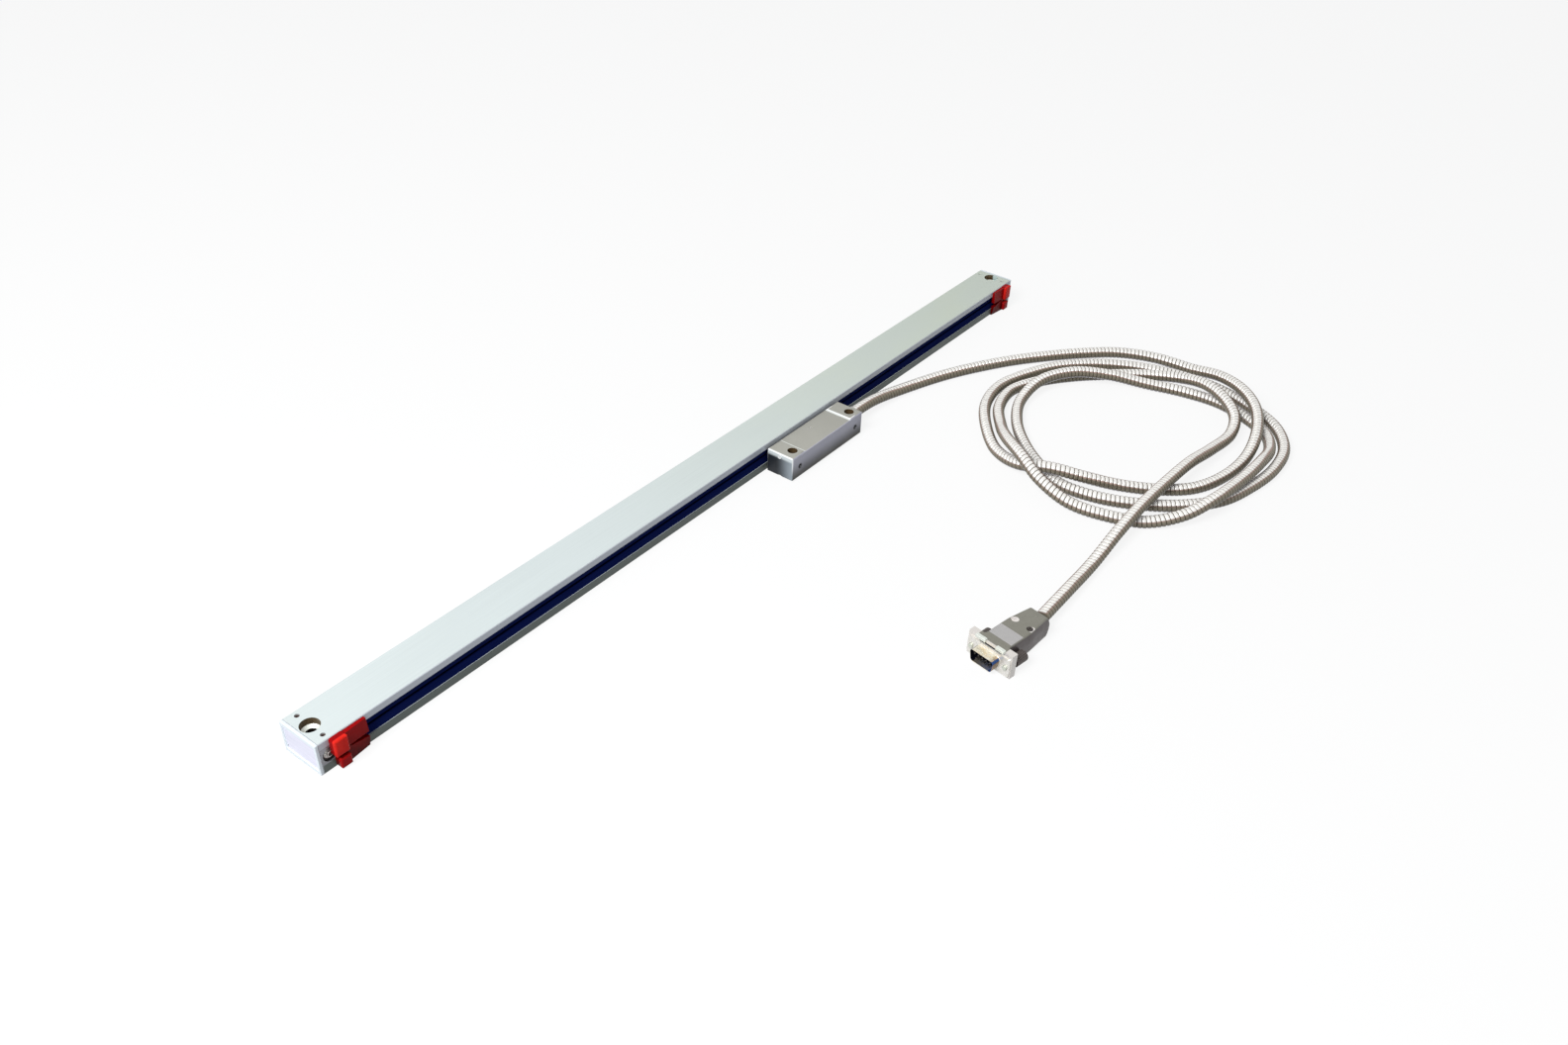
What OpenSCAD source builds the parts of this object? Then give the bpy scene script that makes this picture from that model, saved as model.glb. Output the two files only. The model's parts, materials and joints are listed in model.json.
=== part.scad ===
// Sealed linear glass scale with its reading head, armoured cable and nine way plug.
// X runs along the scale, -Y is the reading head's side and Z is up.
// The origin is the centre of the housing's bottom face.

/* [Scale housing] */
// Overall length, over both end plates
scale_len = 695; // [600:5:1200]
// Depth of the housing, front to back
housing_w = 29.5; // [29.5:0.5:33]
// Height of the housing
housing_h = 21; // [21:0.5:25]
// Thickness of the housing's top and bottom walls
wall_z = 2.5; // [2:0.1:2.5]
// Thickness of the housing's front wall
front_wall = 3; // [2.8:0.1:3.2]
// Thickness of the housing's back wall
back_wall = 2.5; // [2:0.1:3]
// Height of the front slot's lower edge
slot_low = 5.5; // [5.2:0.1:5.8]
// Height of the front slot's upper edge
slot_high = 16.5; // [16.2:0.1:16.8]
// Chamfer along the housing's long edges
housing_chamfer = 0.5; // [0.2:0.1:0.8]

/* [Housing ends] */
// Thickness of an end plate
plate_t = 1.8; // [1.2:0.1:2.2]
// Depth of the panel sunk into an end plate
panel_depth = 0.6; // [0.2:0.1:0.9]
// Width of the end plate's rim at its sides
rim_side = 1.8; // [1:0.1:3]
// Width of the end plate's rim at its top and bottom
rim_top = 2.8; // [1.5:0.1:4]
// Thickness of the gasket under an end plate
gasket_t = 0.3; // [0.2:0.1:0.5]
// Distance from the unit's end to the inner face of an end block
block_reach = 16.5; // [15.5:0.5:19]
// Distance from the unit's end to the axis of a mounting hole
hole_from_end = 8.1; // [8.1:0.1:8.9]
// Radius of a mounting hole's wide upper part
hole_head_r = 5.5; // [4.5:0.1:5.5]
// Height at which the mounting hole's upper part ends
hole_head_z = 16.8; // [7:0.1:17.4]
// Radius of a mounting hole for its bolt
hole_r = 3.25; // [2.5:0.05:3.5]
// Distance from the unit's end to the axis of an air port
port_from_end = 7.5; // [7.5:0.1:8.5]
// Height of an air port's axis
port_z = 10.5; // [10:0.1:11]
// Radius of an air port
port_r = 4.5; // [3.5:0.1:4.5]
// Depth of an air port
port_depth = 6.5; // [4:0.5:7.5]
// Half the distance between the two screws of an end block
block_screw_y = 10.6; // [9:0.1:10.6]
// Radius of an end block screw's head
block_screw_head_r = 1.4; // [1:0.1:1.4]

/* [Glass scale] */
// Width of the glass strip
glass_w = 12; // [11.5:0.1:12.2]
// Thickness of the glass strip
glass_t = 2.5; // [2:0.1:3]
// Distance from the glass's end to the end block
glass_end_gap = 4; // [0.5:0.5:10]
// Thickness of the elastic bed on either face of the glass
bed_t = 0.6; // [0.3:0.1:0.8]
// Depth of the ribs that hold the glass
rib_d = 5; // [3:0.5:5]
// Thickness of those ribs
rib_t = 2; // [1.5:0.1:2]

/* [Seal lips] */
// Thickness of a seal lip at its root
lip_t = 1.2; // [0.8:0.1:1.3]
// Thickness of a seal lip at its tip
lip_tip_t = 0.8; // [0.4:0.1:1]
// Distance from the housing's front face to a lip's root
lip_inset = 0.75; // [0.5:0.05:0.9]
// Depth of the groove that holds a lip's root
lip_root_h = 1.2; // [0.8:0.1:1.4]
// How far the lip leans into the housing
lip_lean = 0.9; // [0.4:0.1:0.9]

/* [Transport clips] */
// Length of a clip along the scale
clip_len = 21.8; // [20:0.1:24]
// Distance from the unit's end to a clip's outer end
clip_from_end = 7.9; // [7:0.1:8.5]
// Height of a clip
clip_h = 20; // [19:0.5:20.5]
// How far a clip's knob stands forward
knob_d = 5; // [3.5:0.1:5]
// How far a clip's legs stand forward
leg_d = 2.6; // [1.5:0.1:3]
// Length of a clip's knob along the scale
knob_len = 8.6; // [7:0.1:9]
// Radius of the peg that holds a clip
peg_r = 1.2; // [0.8:0.1:1.2]
// Length of that peg
peg_len = 2; // [1:0.5:3]

/* [Reading head] */
// Place of the head's middle along the scale
head_x = 56.7; // [40:0.1:70]
// Length of the head
head_len = 81.3; // [80:0.1:86]
// Depth of the head, front to back
head_d = 22; // [21.5:0.1:24]
// Height of the head
head_h = 18.1; // [17.5:0.1:20]
// Gap between the head and what it stands on
head_lift = 0.5; // [0.3:0.1:1]
// Gap between the head and the housing
head_gap = 1.33; // [1:0.01:1.6]
// Radius along the head's edges
head_edge_r = 1.5; // [0.5:0.1:2]
// Length of the raised pad at either end of the head
pad_len = 14.6; // [14.4:0.1:15.6]
// Depth of the sunk middle between the pads
pad_step = 0.7; // [0.3:0.1:1]
// Length of the slope from a pad down to the sunk middle
pad_slope = 1.1; // [0.4:0.1:1.5]
// Thickness of the head's side walls
head_wall = 2; // [1.6:0.1:2.2]
// Thickness of the head's roof
head_roof = 1.8; // [1.2:0.1:2.2]
// Distance from the head's near end to its near mounting hole
head_hole_near = 8.7; // [8:0.1:8.8]
// Distance from the head's far end to its far mounting hole
head_hole_far = 6.8; // [6.7:0.1:7.5]
// Distance from the head's front face to its mounting holes
head_hole_y = 7.1; // [6.5:0.1:7.3]
// Radius of a head mounting hole for its bolt
head_hole_r = 2.25; // [1.6:0.05:2.4]
// Radius of a head mounting hole's wide upper part
head_hole_head_r = 3.5; // [3:0.1:3.5]
// Depth of that wide upper part
head_hole_head_h = 6; // [3:0.5:9]
// Distance from either end to a tapped hole in the head's front face
side_hole_x = 8.4; // [7.5:0.1:9]
// Radius of a tapped hole in the head's front face
side_hole_r = 1.4; // [1:0.1:1.6]
// Depth of a tapped hole in the head's front face
side_hole_depth = 2.6; // [1.5:0.1:2.8]
// Thickness of the cover under the head
cover_t = 1.5; // [1:0.1:2]
// How far that cover laps over the head's hollow at its ends
cover_lap_x = 3; // [2.8:0.1:4]
// How far that cover laps over the head's hollow at its sides
cover_lap_y = 1; // [0.4:0.1:1.2]
// Thickness of the head's circuit board
board_t = 1.6; // [0.8:0.1:1.6]
// Height of that board above the head's bottom
board_lift = 7.5; // [6:0.1:7.6]

/* [Cable outlet] */
// Diameter of the armoured cable
hose_d = 8.5; // [7:0.1:8.5]
// Radius of the ferrule's collar
ferrule_r = 5.4; // [5:0.1:5.6]
// Length of the ferrule's collar
ferrule_len = 5.7; // [3:0.1:5.7]
// Radius of the ferrule's seat in the head
ferrule_seat_r = 4.6; // [4:0.1:4.6]
// Depth of that seat
ferrule_seat = 2.6; // [1.5:0.1:2.8]
// Radius of the wire bundle between ferrule and board
cores_r = 1.5; // [1:0.1:1.5]

/* [Scanning carriage] */
// Length of the carriage
carriage_len = 68; // [66:1:74]
// Thickness of the carriage's spine
spine_t = 5.5; // [5:0.1:5.8]
// Clearance between the carriage and the cavity's floor and roof
carriage_gap = 0.9; // [0.6:0.1:1.2]
// Clearance between the carriage's throat and the glass
throat_gap = 1.2; // [1:0.1:1.3]
// Clearance between the carriage's arms and the ribs
arm_gap = 0.85; // [0.5:0.05:1.2]
// Radius of the rollers
roller_r = 2.3; // [2:0.1:2.4]
// Width of the rollers on the glass's face
face_roller_w = 3; // [2:0.1:3.2]
// Height of the rollers on the glass's edge
edge_roller_h = 2.4; // [1.8:0.1:2.4]
// Radius of the roller pins
roller_pin_r = 0.75; // [0.5:0.05:0.9]
// Distance from the carriage's ends to its face rollers
face_roller_in = 6; // [5:0.5:8]
// Distance from the carriage's ends to its edge rollers
edge_roller_in = 14; // [13:0.5:16]
// Radius of the lamp
lamp_r = 2.4; // [1.5:0.1:2.6]
// Thickness of the index grating
grating_t = 1; // [0.6:0.1:1]
// Thickness of the coupling blade
blade_t = 1.2; // [0.8:0.1:1.4]
// Length of the coupling blade along the scale
blade_len = 36; // [32:1:40]
// Thickness of the blade's inner flange
flange_t = 1; // [0.8:0.1:1.2]
// Distance from the blade's middle to its guide pins
guide_x = 12; // [9:0.5:13]
// Radius of the guide pins
guide_r = 0.8; // [0.5:0.05:0.8]
// Radius of the carriage springs, to the wire's middle
spring_r = 1.4; // [1.3:0.05:1.6]
// Radius of the spring wire
wire_r = 0.3; // [0.2:0.02:0.3]

/* [Plug] */
// Turn of the plug on the surface, in degrees
plug_turn = -10; // [-14:0.5:-6]
// Length of the plug's hood behind its rim
hood_len = 43; // [42:0.5:48]
// Width of the hood behind its rim
hood_front_w = 18.8; // [18:0.1:20.5]
// Width of the hood's middle
hood_mid_w = 17; // [16.6:0.1:17.4]
// Width of the hood at the cable
hood_rear_w = 12.6; // [11.6:0.1:13.4]
// Height of the hood
hood_h = 15.2; // [14.5:0.1:15.4]
// Wall of the hood
hood_wall = 1.3; // [1:0.1:1.4]
// Width of the hood's rim
rim_w = 31.8; // [31:0.1:33]
// Height of the hood's rim
rim_h = 16.3; // [15.8:0.1:17]
// Thickness of the hood's rim
rim_t = 4.5; // [4:0.1:5]
// Width of the connector's flange
flange_w = 30.8; // [30.4:0.1:31]
// Height of the connector's flange
flange_h = 12.5; // [12:0.1:13]
// Thickness of the connector's flange
flange_plate_t = 1; // [0.6:0.1:1.2]
// Width of the connector's shell
shell_w = 16.92; // [16.6:0.02:17.2]
// Height of the connector's shell
shell_h = 8.36; // [8.2:0.02:8.6]
// How far the shell stands forward
shell_reach = 6; // [5.5:0.1:6.5]
// Thickness of the shell's metal
shell_t = 0.4; // [0.3:0.05:0.5]
// Height of the connector's axis above the surface
plug_z = 7.2; // [7:0.1:8]
// Radius of a contact pin
contact_r = 0.5; // [0.4:0.05:0.5]
// Distance between contact pins in a row
contact_pitch = 2.77; // [2.7:0.01:2.8]
// Half the distance between the two rows of pins
row_z = 1.42; // [1.3:0.02:1.5]
// Distance from the plug's axis to a jackscrew
jack_y = 12.5; // [12.3:0.05:12.7]
// Radius of a jackscrew's thread
jack_r = 1.5; // [1.2:0.05:1.5]
// Radius of a jackscrew's knob
knob_r = 3.6; // [2.8:0.1:3.6]
// Length of a jackscrew's knob
jack_knob_len = 9; // [7:0.5:12]
// Distance from the hood's rim to its screws
hood_screw_x = 27; // [25.5:0.1:28]
// Half the distance between the hood's screws
hood_screw_y = 6.1; // [5.6:0.1:6.2]

/* [Hidden] */
$fn = 48;

// Clearances
fit = 0.05;          // one piece set into another
running = 0.08;      // a shaft or roller that turns
moving_gap = 0.3;    // between bodies that pass each other
over = 1;            // how far a cut runs past the face it opens

// Housing and its hollow
half_len = scale_len / 2;
front_y = -housing_w / 2;
back_y = housing_w / 2;
cav_front = front_y + front_wall;
cav_back = back_y - back_wall;
cav_low = wall_z;
cav_high = housing_h - wall_z;
body_half = half_len - plate_t - gasket_t;
block_x = half_len - block_reach;
hole_x = half_len - hole_from_end;
port_x = half_len - port_from_end;
mid_z = (slot_low + slot_high) / 2;

// End block screws
block_screw_head_h = 1.2;
block_screw_sink = 0.6;
block_screw_r = 0.9;
block_screw_seat = housing_h - block_screw_sink - block_screw_head_h;
block_screw_tip = port_z + port_r + 0.9;

// Glass and its ribs
glass_front = cav_back - glass_w;
glass_low = mid_z - glass_t / 2;
glass_high = mid_z + glass_t / 2;
rib_front = cav_back - rib_d;

// Transport clips
clip_x = half_len - clip_from_end;
clip_inner = clip_x - clip_len;
peg_x = clip_x - knob_len + peg_r + 1.2;
peg_z = mid_z + 2.6;

// Carriage
arm_end = rib_front - arm_gap;
flange_front = cav_front + 0.75;
flange_back = flange_front + flange_t;
spring_gap = 1.2;
spine_front = flange_back + spring_gap;
spine_back = spine_front + spine_t;
carriage_low = cav_low + carriage_gap;
carriage_high = cav_high - carriage_gap;
throat_low = glass_low - throat_gap;
throat_high = glass_high + throat_gap;
face_roller_z = glass_high + moving_gap + roller_r;
face_roller_y = (glass_front + arm_end) / 2;
edge_roller_y = glass_front - moving_gap - roller_r;
face_roller_x = carriage_len / 2 - face_roller_in;
edge_roller_x = carriage_len / 2 - edge_roller_in;
roller_room = 0.4;
pin_bite = 2.4;
lamp_y = face_roller_y;
lamp_len = carriage_high + moving_gap - throat_high;
grating_len = 16;
grating_w = 5.6;
grating_sink = 0.3;
detector_len = 13;
detector_w = 4.4;
detector_t = 1.2;
detector_depth = 2.4;
spring_pocket = 1.5;
guide_bite = 2.4;
flange_half_h = 4.8;
spring_turns = 3.5;

// Head
head_near = head_x - head_len / 2;
head_far = head_x + head_len / 2;
head_back = front_y - head_gap;
head_front = head_back - head_d;
head_low = head_lift;
head_high = head_lift + head_h;
room_near = head_near + pad_len;
room_far = head_far - pad_len;
room_front = head_front + head_wall;
room_back = head_back - head_wall;
room_high = head_high - pad_step - head_roof;
head_hole_line = head_front + head_hole_y;
head_hole_x = [head_near + head_hole_near, head_far - head_hole_far];
cover_screw_r = 1;
cover_screw_len = 6.5;
cover_screw_in = 1.5;
board_low = head_low + board_lift;
board_gap = 0.2;
board_margin = 2;
post_r = 2;
post_in = 4;

// Small dimple in the sunk middle, and the notch for prying the head off at its near end
dimple_r = 0.8;
dimple_depth = 1.2;
dimple_in = 6.4;
pry_w = 3;
pry_h = 1.5;
pry_depth = 1.2;

// Screw in the head's near end
end_screw_r = 0.9;
end_screw_head_r = 1.4;
end_screw_len = 5;
end_screw_y = head_front + head_d / 2;
end_screw_z = head_high - 2.3;

// Cable outlet and the cable's route, as points along its middle
exit_y = head_front + 12.08;
exit_z = head_low + 9;
cores_y = exit_y + 1.6;
ferrule_end = head_far + ferrule_len;
ROUTE = [
    [ferrule_end + fit, exit_y, exit_z], [107, -26, 9.5], [130, -26, 8], [160, -30, 5],
    [205, -45, 4.5], [249, -68, 4.5], [276, -87, 4.5], [301, -108, 4.5], [321, -130, 4.5],
    [332, -156, 4.5], [334, -184, 4.5], [328, -210, 10], [313, -233, 13.5], [291, -252, 14], [263, -264, 11], [234, -268, 6.5],
    [205, -264, 4.5], [180, -254, 4.5], [163, -236, 4.5], [149, -215, 6], [135, -194, 11],
    [126, -173, 14], [124, -150, 8.5], [135, -127, 4.5], [158, -105, 4.5], [185, -89, 4.5],
    [215, -84, 4.5], [246, -92, 4.5], [273, -106, 4.5], [295, -128, 4.5], [310, -154, 4.5],
    [318, -183, 4.5], [318, -213, 4.5], [309, -242, 4.5], [293, -268, 4.5], [268, -284, 4.5],
    [238, -288, 4.5], [208, -284, 4.5], [179, -275, 4.5], [156, -257, 4.5], [139, -234, 4.5],
    [128, -208, 4.5], [126, -182, 4.5], [138, -159, 4.5], [155, -138, 4.5], [178, -119, 4.5],
    [205, -107, 5.5], [232, -108, 10.5], [257, -122, 12], [275, -143, 9.5], [288, -168, 5.5],
    [297, -195, 4.5], [299, -222, 4.5], [291, -247, 4.5], [277, -267, 5], [257, -277, 7],
    [228, -280.5, 12.5], [195, -279, 13.5], [163, -274, 13.5], [140, -264, 9], [123, -246, 4.5],
    [113, -223, 4.5], [107, -198, 7], [109, -175, 13.5], [120, -153, 19], [140, -131, 14],
    [163, -114, 6.5], [187, -99, 4.5], [214, -94, 4.5], [241, -104, 4.5], [265, -121, 4.5],
    [286, -142, 4.5], [301, -163, 5.5], [308, -186, 8.5], [303, -207, 13.5], [293, -226, 13.5],
    [277, -242, 11], [257, -248, 8], [226, -246, 9.5], [195, -243, 13], [160, -241, 13.5],
    [125, -240, 13.5], [92, -240, 11], [60, -240, 5.5], [22, -241, 6.5], [-15, -242, 8]
];
hose_sides = 10;

// Plug, with its own +X pointing back along the hood
plug_at = [-59, -234.5, 0];
rim_x = flange_plate_t;
hood_x = rim_x + rim_t;
hood_end = rim_x + hood_len;
hood_low = (rim_h - hood_h) / 2;
hood_high = hood_low + hood_h;
hood_split = rim_h / 2;
hood_step_x = hood_x + 0.7;
hood_kink_x = 25;
shell_slope = tan(10);
shell_corner_r = 2.4;
boss_r = 1.75;
jack_collar_r = 2.3;
jack_collar_t = 1;
jack_tip = -1.2;
jack_knob_x = hood_x + moving_gap + jack_collar_t + 0.4;
hood_screw_r = 0.9;
hood_screw_head_r = 1.4;
hood_screw_head_h = 0.9;
clamp_len = 4.5;

// Places of the nine contacts, five above and four below
contacts = concat(
    [for (i = [-2 : 2]) [i * contact_pitch, row_z]],
    [for (i = [-1.5 : 1.5]) [i * contact_pitch, -row_z]]
);

// Colours
aluminium = [0.86, 0.9, 0.89];
steel = [0.7, 0.71, 0.7];
dark_steel = [0.35, 0.35, 0.36];
cast_grey = [0.62, 0.62, 0.58];
navy = [0.03, 0.05, 0.15];
red = [0.6, 0.06, 0.06];
glass_green = [0.6, 0.8, 0.75];
board_green = [0.1, 0.4, 0.2];
brass = [0.8, 0.65, 0.35];
black = [0.08, 0.08, 0.09];

// ---------------------------------------------------------------- helpers

// A box given by its lowest and highest corners
module box(low, high) {
    translate(low) cube(high - low);
}

// A rectangle given by its lowest and highest corners
module rect(low, high) {
    translate(low) square(high - low);
}

// A rectangle with round corners, centred
module round_rect(w, h, r) {
    square([w - 2 * r, h], center = true);
    square([w, h - 2 * r], center = true);
    for (x = [-1, 1], y = [-1, 1]) {
        translate([x * (w / 2 - r), y * (h / 2 - r)]) circle(r);
    }
}

// A block with all its edges round
module round_block(low, high, r) {
    size = high - low;
    mid = (high + low) / 2;
    translate(mid) intersection() {
        linear_extrude(size[2], center = true) round_rect(size[0], size[1], r);
        rotate([90, 0, 0]) linear_extrude(size[1], center = true) round_rect(size[0], size[2], r);
        rotate([90, 0, 90]) linear_extrude(size[0], center = true) round_rect(size[1], size[2], r);
    }
}

// An outline drawn in Y and Z, pulled along X from one place to another
module along_x(from, to) {
    translate([from, 0, 0]) rotate([90, 0, 90]) linear_extrude(to - from) children();
}

// A cylinder along X, from one place to another
module bar_x(from, to, r, y = 0, z = 0) {
    translate([from, y, z]) rotate([0, 90, 0]) cylinder(h = to - from, r = r);
}

// A cylinder along Y, from one place to another
module bar_y(from, to, r, x = 0, z = 0) {
    translate([x, from, z]) rotate([-90, 0, 0]) cylinder(h = to - from, r = r);
}

// A cylinder along Z, from one place to another
module bar_z(from, to, r, x = 0, y = 0) {
    translate([x, y, from]) cylinder(h = to - from, r = r);
}

function unit(v) = v / norm(v);

// Direction of a path at one of its points
function heading(path, i) = unit(path[min(i + 1, len(path) - 1)] - path[max(i - 1, 0)]);

// One ring of points round a path, with its first point on the side of ref
function ring(path, i, r, sides, ref) =
    let (t = heading(path, i), side = unit(cross(t, ref)), up = cross(side, t))
    [for (k = [0 : sides - 1]) path[i] + r * (cos(k * 360 / sides) * up + sin(k * 360 / sides) * side)];

// A tube swept along a path
module tube(path, r, sides, ref = [0, 0, 1]) {
    last = len(path) - 1;
    points = [for (i = [0 : last]) each ring(path, i, r, sides, ref)];
    walls = [for (i = [0 : last - 1], k = [0 : sides - 1])
        [i * sides + k, i * sides + (k + 1) % sides,
         (i + 1) * sides + (k + 1) % sides, (i + 1) * sides + k]];
    start_cap = [for (k = [sides - 1 : -1 : 0]) k];
    end_cap = [for (k = [0 : sides - 1]) last * sides + k];
    polyhedron(points, concat([start_cap], walls, [end_cap]));
}

// ---------------------------------------------------------------- scale unit

// The hollow of the housing, smaller by gap all round
module hollow_outline(gap = 0) {
    difference() {
        rect([cav_front + gap, cav_low + gap], [cav_back - gap, cav_high - gap]);
        rect([rib_front - gap, glass_low - bed_t - rib_t - gap], [back_y, glass_high + bed_t + rib_t + gap]);
    }
}

module slot_outline() {
    rect([front_y - over, slot_low], [cav_front + over, slot_high]);
}

// The grooves for the lips' roots, along the slot's edges
module lip_groove_outline() {
    rect([front_y + lip_inset, slot_low - lip_root_h],
         [front_y + lip_inset + lip_t, slot_high + lip_root_h]);
}

module housing_outline() {
    c = housing_chamfer;
    polygon([
        [front_y + c, 0], [back_y - c, 0], [back_y, c], [back_y, housing_h - c],
        [back_y - c, housing_h], [front_y + c, housing_h], [front_y, housing_h - c], [front_y, c]
    ]);
}

// A mounting hole from top to bottom, with its wide upper part and its cone seat
module mounting_hole(x) {
    cone_h = (hole_head_r - hole_r) / 2;
    bar_z(hole_head_z, housing_h + over, hole_head_r, x);
    translate([x, 0, hole_head_z - cone_h]) cylinder(h = cone_h, r1 = hole_r, r2 = hole_head_r);
    bar_z(-over, hole_head_z, hole_r, x);
}

module block_screw_holes(x) {
    for (y = [-block_screw_y, block_screw_y]) {
        bar_z(block_screw_seat, housing_h + over, block_screw_head_r + fit, x, y);
        bar_z(block_screw_tip - fit, housing_h, block_screw_r + fit, x, y);
    }
}

module housing() {
    color(aluminium) difference() {
        along_x(-body_half, body_half) difference() {
            housing_outline();
            hollow_outline();
            rect([rib_front - over, glass_low - bed_t], [cav_back, glass_high + bed_t]);
            slot_outline();
            lip_groove_outline();
        }
        for (x = [-hole_x, hole_x]) {
            mounting_hole(x);
            block_screw_holes(x);
        }
    }
}

module end_plate(side) {
    color(aluminium) mirror([side < 0 ? 1 : 0, 0, 0]) difference() {
        along_x(half_len - plate_t, half_len) housing_outline();
        box([half_len - panel_depth, front_y + rim_side, rim_top],
            [half_len + over, back_y - rim_side, housing_h - rim_top]);
    }
}

module end_gasket(side) {
    color(black) mirror([side < 0 ? 1 : 0, 0, 0]) along_x(body_half, body_half + gasket_t) housing_outline();
}

// An end block fills the hollow and closes the slot at one end of the housing
module end_block(side) {
    color(steel) mirror([side < 0 ? 1 : 0, 0, 0]) difference() {
        along_x(block_x, body_half) {
            hollow_outline(fit);
            rect([front_y, slot_low + fit], [cav_front + over, slot_high - fit]);
        }
        mounting_hole(hole_x);
        block_screw_holes(hole_x);
        bar_y(front_y - over, front_y + port_depth, port_r, port_x, port_z);
        bar_y(front_y - over, front_y + peg_len + fit, peg_r + fit, peg_x, peg_z);
    }
}

module end_block_screws() {
    color(dark_steel) for (x = [-hole_x, hole_x], y = [-block_screw_y, block_screw_y]) {
        bar_z(block_screw_seat, block_screw_seat + block_screw_head_h, block_screw_head_r, x, y);
        bar_z(block_screw_tip, block_screw_seat, block_screw_r, x, y);
    }
}

// A plug screw that closes an air port, with a socket in its face
module air_plug(side) {
    socket_r = 1.6;
    face = front_y + 0.8;
    color(dark_steel) difference() {
        bar_y(face, front_y + port_depth, port_r - fit, side * port_x, port_z);
        bar_y(face - over, face + 2.5, socket_r, side * port_x, port_z);
    }
}

module glass_scale() {
    color(glass_green) box([glass_end_gap - block_x, glass_front, glass_low],
                           [block_x - glass_end_gap, cav_back - fit, glass_high]);
}

module glass_bed(low) {
    color(black) box([glass_end_gap - block_x, rib_front, low],
                     [block_x - glass_end_gap, cav_back - fit, low + bed_t]);
}

// The outline of the upper lip; the lower one is its mirror image
module lip_outline() {
    root = front_y + lip_inset;
    tip = root + lip_lean;
    tip_z = blade_t / 2 + moving_gap;
    root_z = (slot_high - slot_low) / 2;
    polygon([
        [root, root_z], [root, root_z + lip_root_h], [root + lip_t, root_z + lip_root_h],
        [root + lip_t, root_z], [tip + lip_tip_t, tip_z], [tip, tip_z]
    ]);
}

module seal_lip(side) {
    color(navy) translate([0, 0, mid_z]) mirror([0, 0, side < 0 ? 1 : 0])
        along_x(fit - block_x, block_x - fit) lip_outline();
}

// ---------------------------------------------------------------- transport clips

// The clip's legs, with the wedge that opens between them towards the middle of the scale
module clip_legs_outline() {
    leg_x = clip_x - knob_len;
    polygon([
        [leg_x + 1, 0.3], [clip_inner, 0.3], [clip_inner, 7.6], [leg_x - 1, 9.8],
        [leg_x - 1, 10.4], [clip_inner, 11], [clip_inner, clip_h], [leg_x + 1, clip_h]
    ]);
}

// A block with round edges, pulled forward from the housing's face
module clip_lobe(low, high, depth) {
    r = 1.5;
    intersection() {
        round_block([low[0], front_y - depth, low[1]], [high[0], front_y + 2 * r, high[1]], r);
        box([low[0] - over, front_y - depth - over, low[1] - over],
            [high[0] + over, front_y, high[1] + over]);
    }
}

module clip(side) {
    color(red) mirror([side < 0 ? 1 : 0, 0, 0]) {
        translate([0, front_y, 0]) rotate([90, 0, 0]) linear_extrude(leg_d) clip_legs_outline();
        clip_lobe([clip_x - knob_len, 9.4], [clip_x, clip_h + 0.6], knob_d);
        clip_lobe([clip_x - knob_len, 0.3], [clip_x - 1.6, 7.4], knob_d);
        bar_y(front_y - 0.5, front_y + peg_len, peg_r, peg_x, peg_z);
    }
}

// ---------------------------------------------------------------- reading head

// Places of the cover's screws
module at_cover_screws() {
    for (x = [room_near - cover_screw_in, room_far + cover_screw_in],
         y = [room_front + cover_screw_in, room_back - cover_screw_in]) {
        translate([x, y, 0]) children();
    }
}

// The space over the sunk middle, with sloped ends
module sunk_middle() {
    rise = (pad_step + over) / pad_step * pad_slope;
    floor_z = head_high - pad_step;
    translate([0, head_back + over, 0]) rotate([90, 0, 0]) linear_extrude(head_d + 2 * over) polygon([
        [room_near, floor_z], [room_far, floor_z],
        [room_far + rise, head_high + over], [room_near - rise, head_high + over]
    ]);
}

module head_body() {
    color(cast_grey) {
        difference() {
            round_block([head_near, head_front, head_low], [head_far, head_back, head_high], head_edge_r);
            sunk_middle();
            box([room_near, room_front, head_low - over], [room_far, room_back, room_high]);
            box([room_near - cover_lap_x, room_front - cover_lap_y, head_low - over],
                [room_far + cover_lap_x, room_back + cover_lap_y, head_low + cover_t]);
            at_cover_screws() bar_z(0, head_low + cover_screw_len + fit, cover_screw_r + fit);
            for (x = head_hole_x) {
                bar_z(0, head_high, head_hole_r, x, head_hole_line);
                bar_z(head_high - head_hole_head_h, head_high + over, head_hole_head_r, x, head_hole_line);
            }
            for (x = [head_near + side_hole_x, head_far - side_hole_x]) {
                bar_y(head_front - over, head_front + side_hole_depth, side_hole_r, x, exit_z);
            }
            box([head_x - blade_len / 2 - fit, room_back - over, mid_z - blade_t / 2],
                [head_x + blade_len / 2 + fit, head_back + over, mid_z + blade_t / 2]);
            bar_x(head_far - ferrule_seat, head_far + over, ferrule_seat_r, exit_y, exit_z);
            bar_x(room_far - over, head_far, cores_r + fit, cores_y, exit_z);
            bar_x(head_near - over, head_near + end_screw_len + fit, end_screw_r + fit, end_screw_y,
                  end_screw_z);
            bar_z(head_high - pad_step - dimple_depth, head_high, dimple_r, head_x, head_back - dimple_in);
            box([head_near - over, end_screw_y - pry_w / 2, head_low - over],
                [head_near + pry_depth, end_screw_y + pry_w / 2, head_low + pry_h]);
        }
        at_board_posts() bar_z(board_low + board_t, room_high, post_r);
    }
}

module head_end_screw() {
    color(steel) {
        bar_x(head_near - 0.6, head_near, end_screw_head_r, end_screw_y, end_screw_z);
        bar_x(head_near, head_near + end_screw_len, end_screw_r, end_screw_y, end_screw_z);
    }
}

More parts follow.
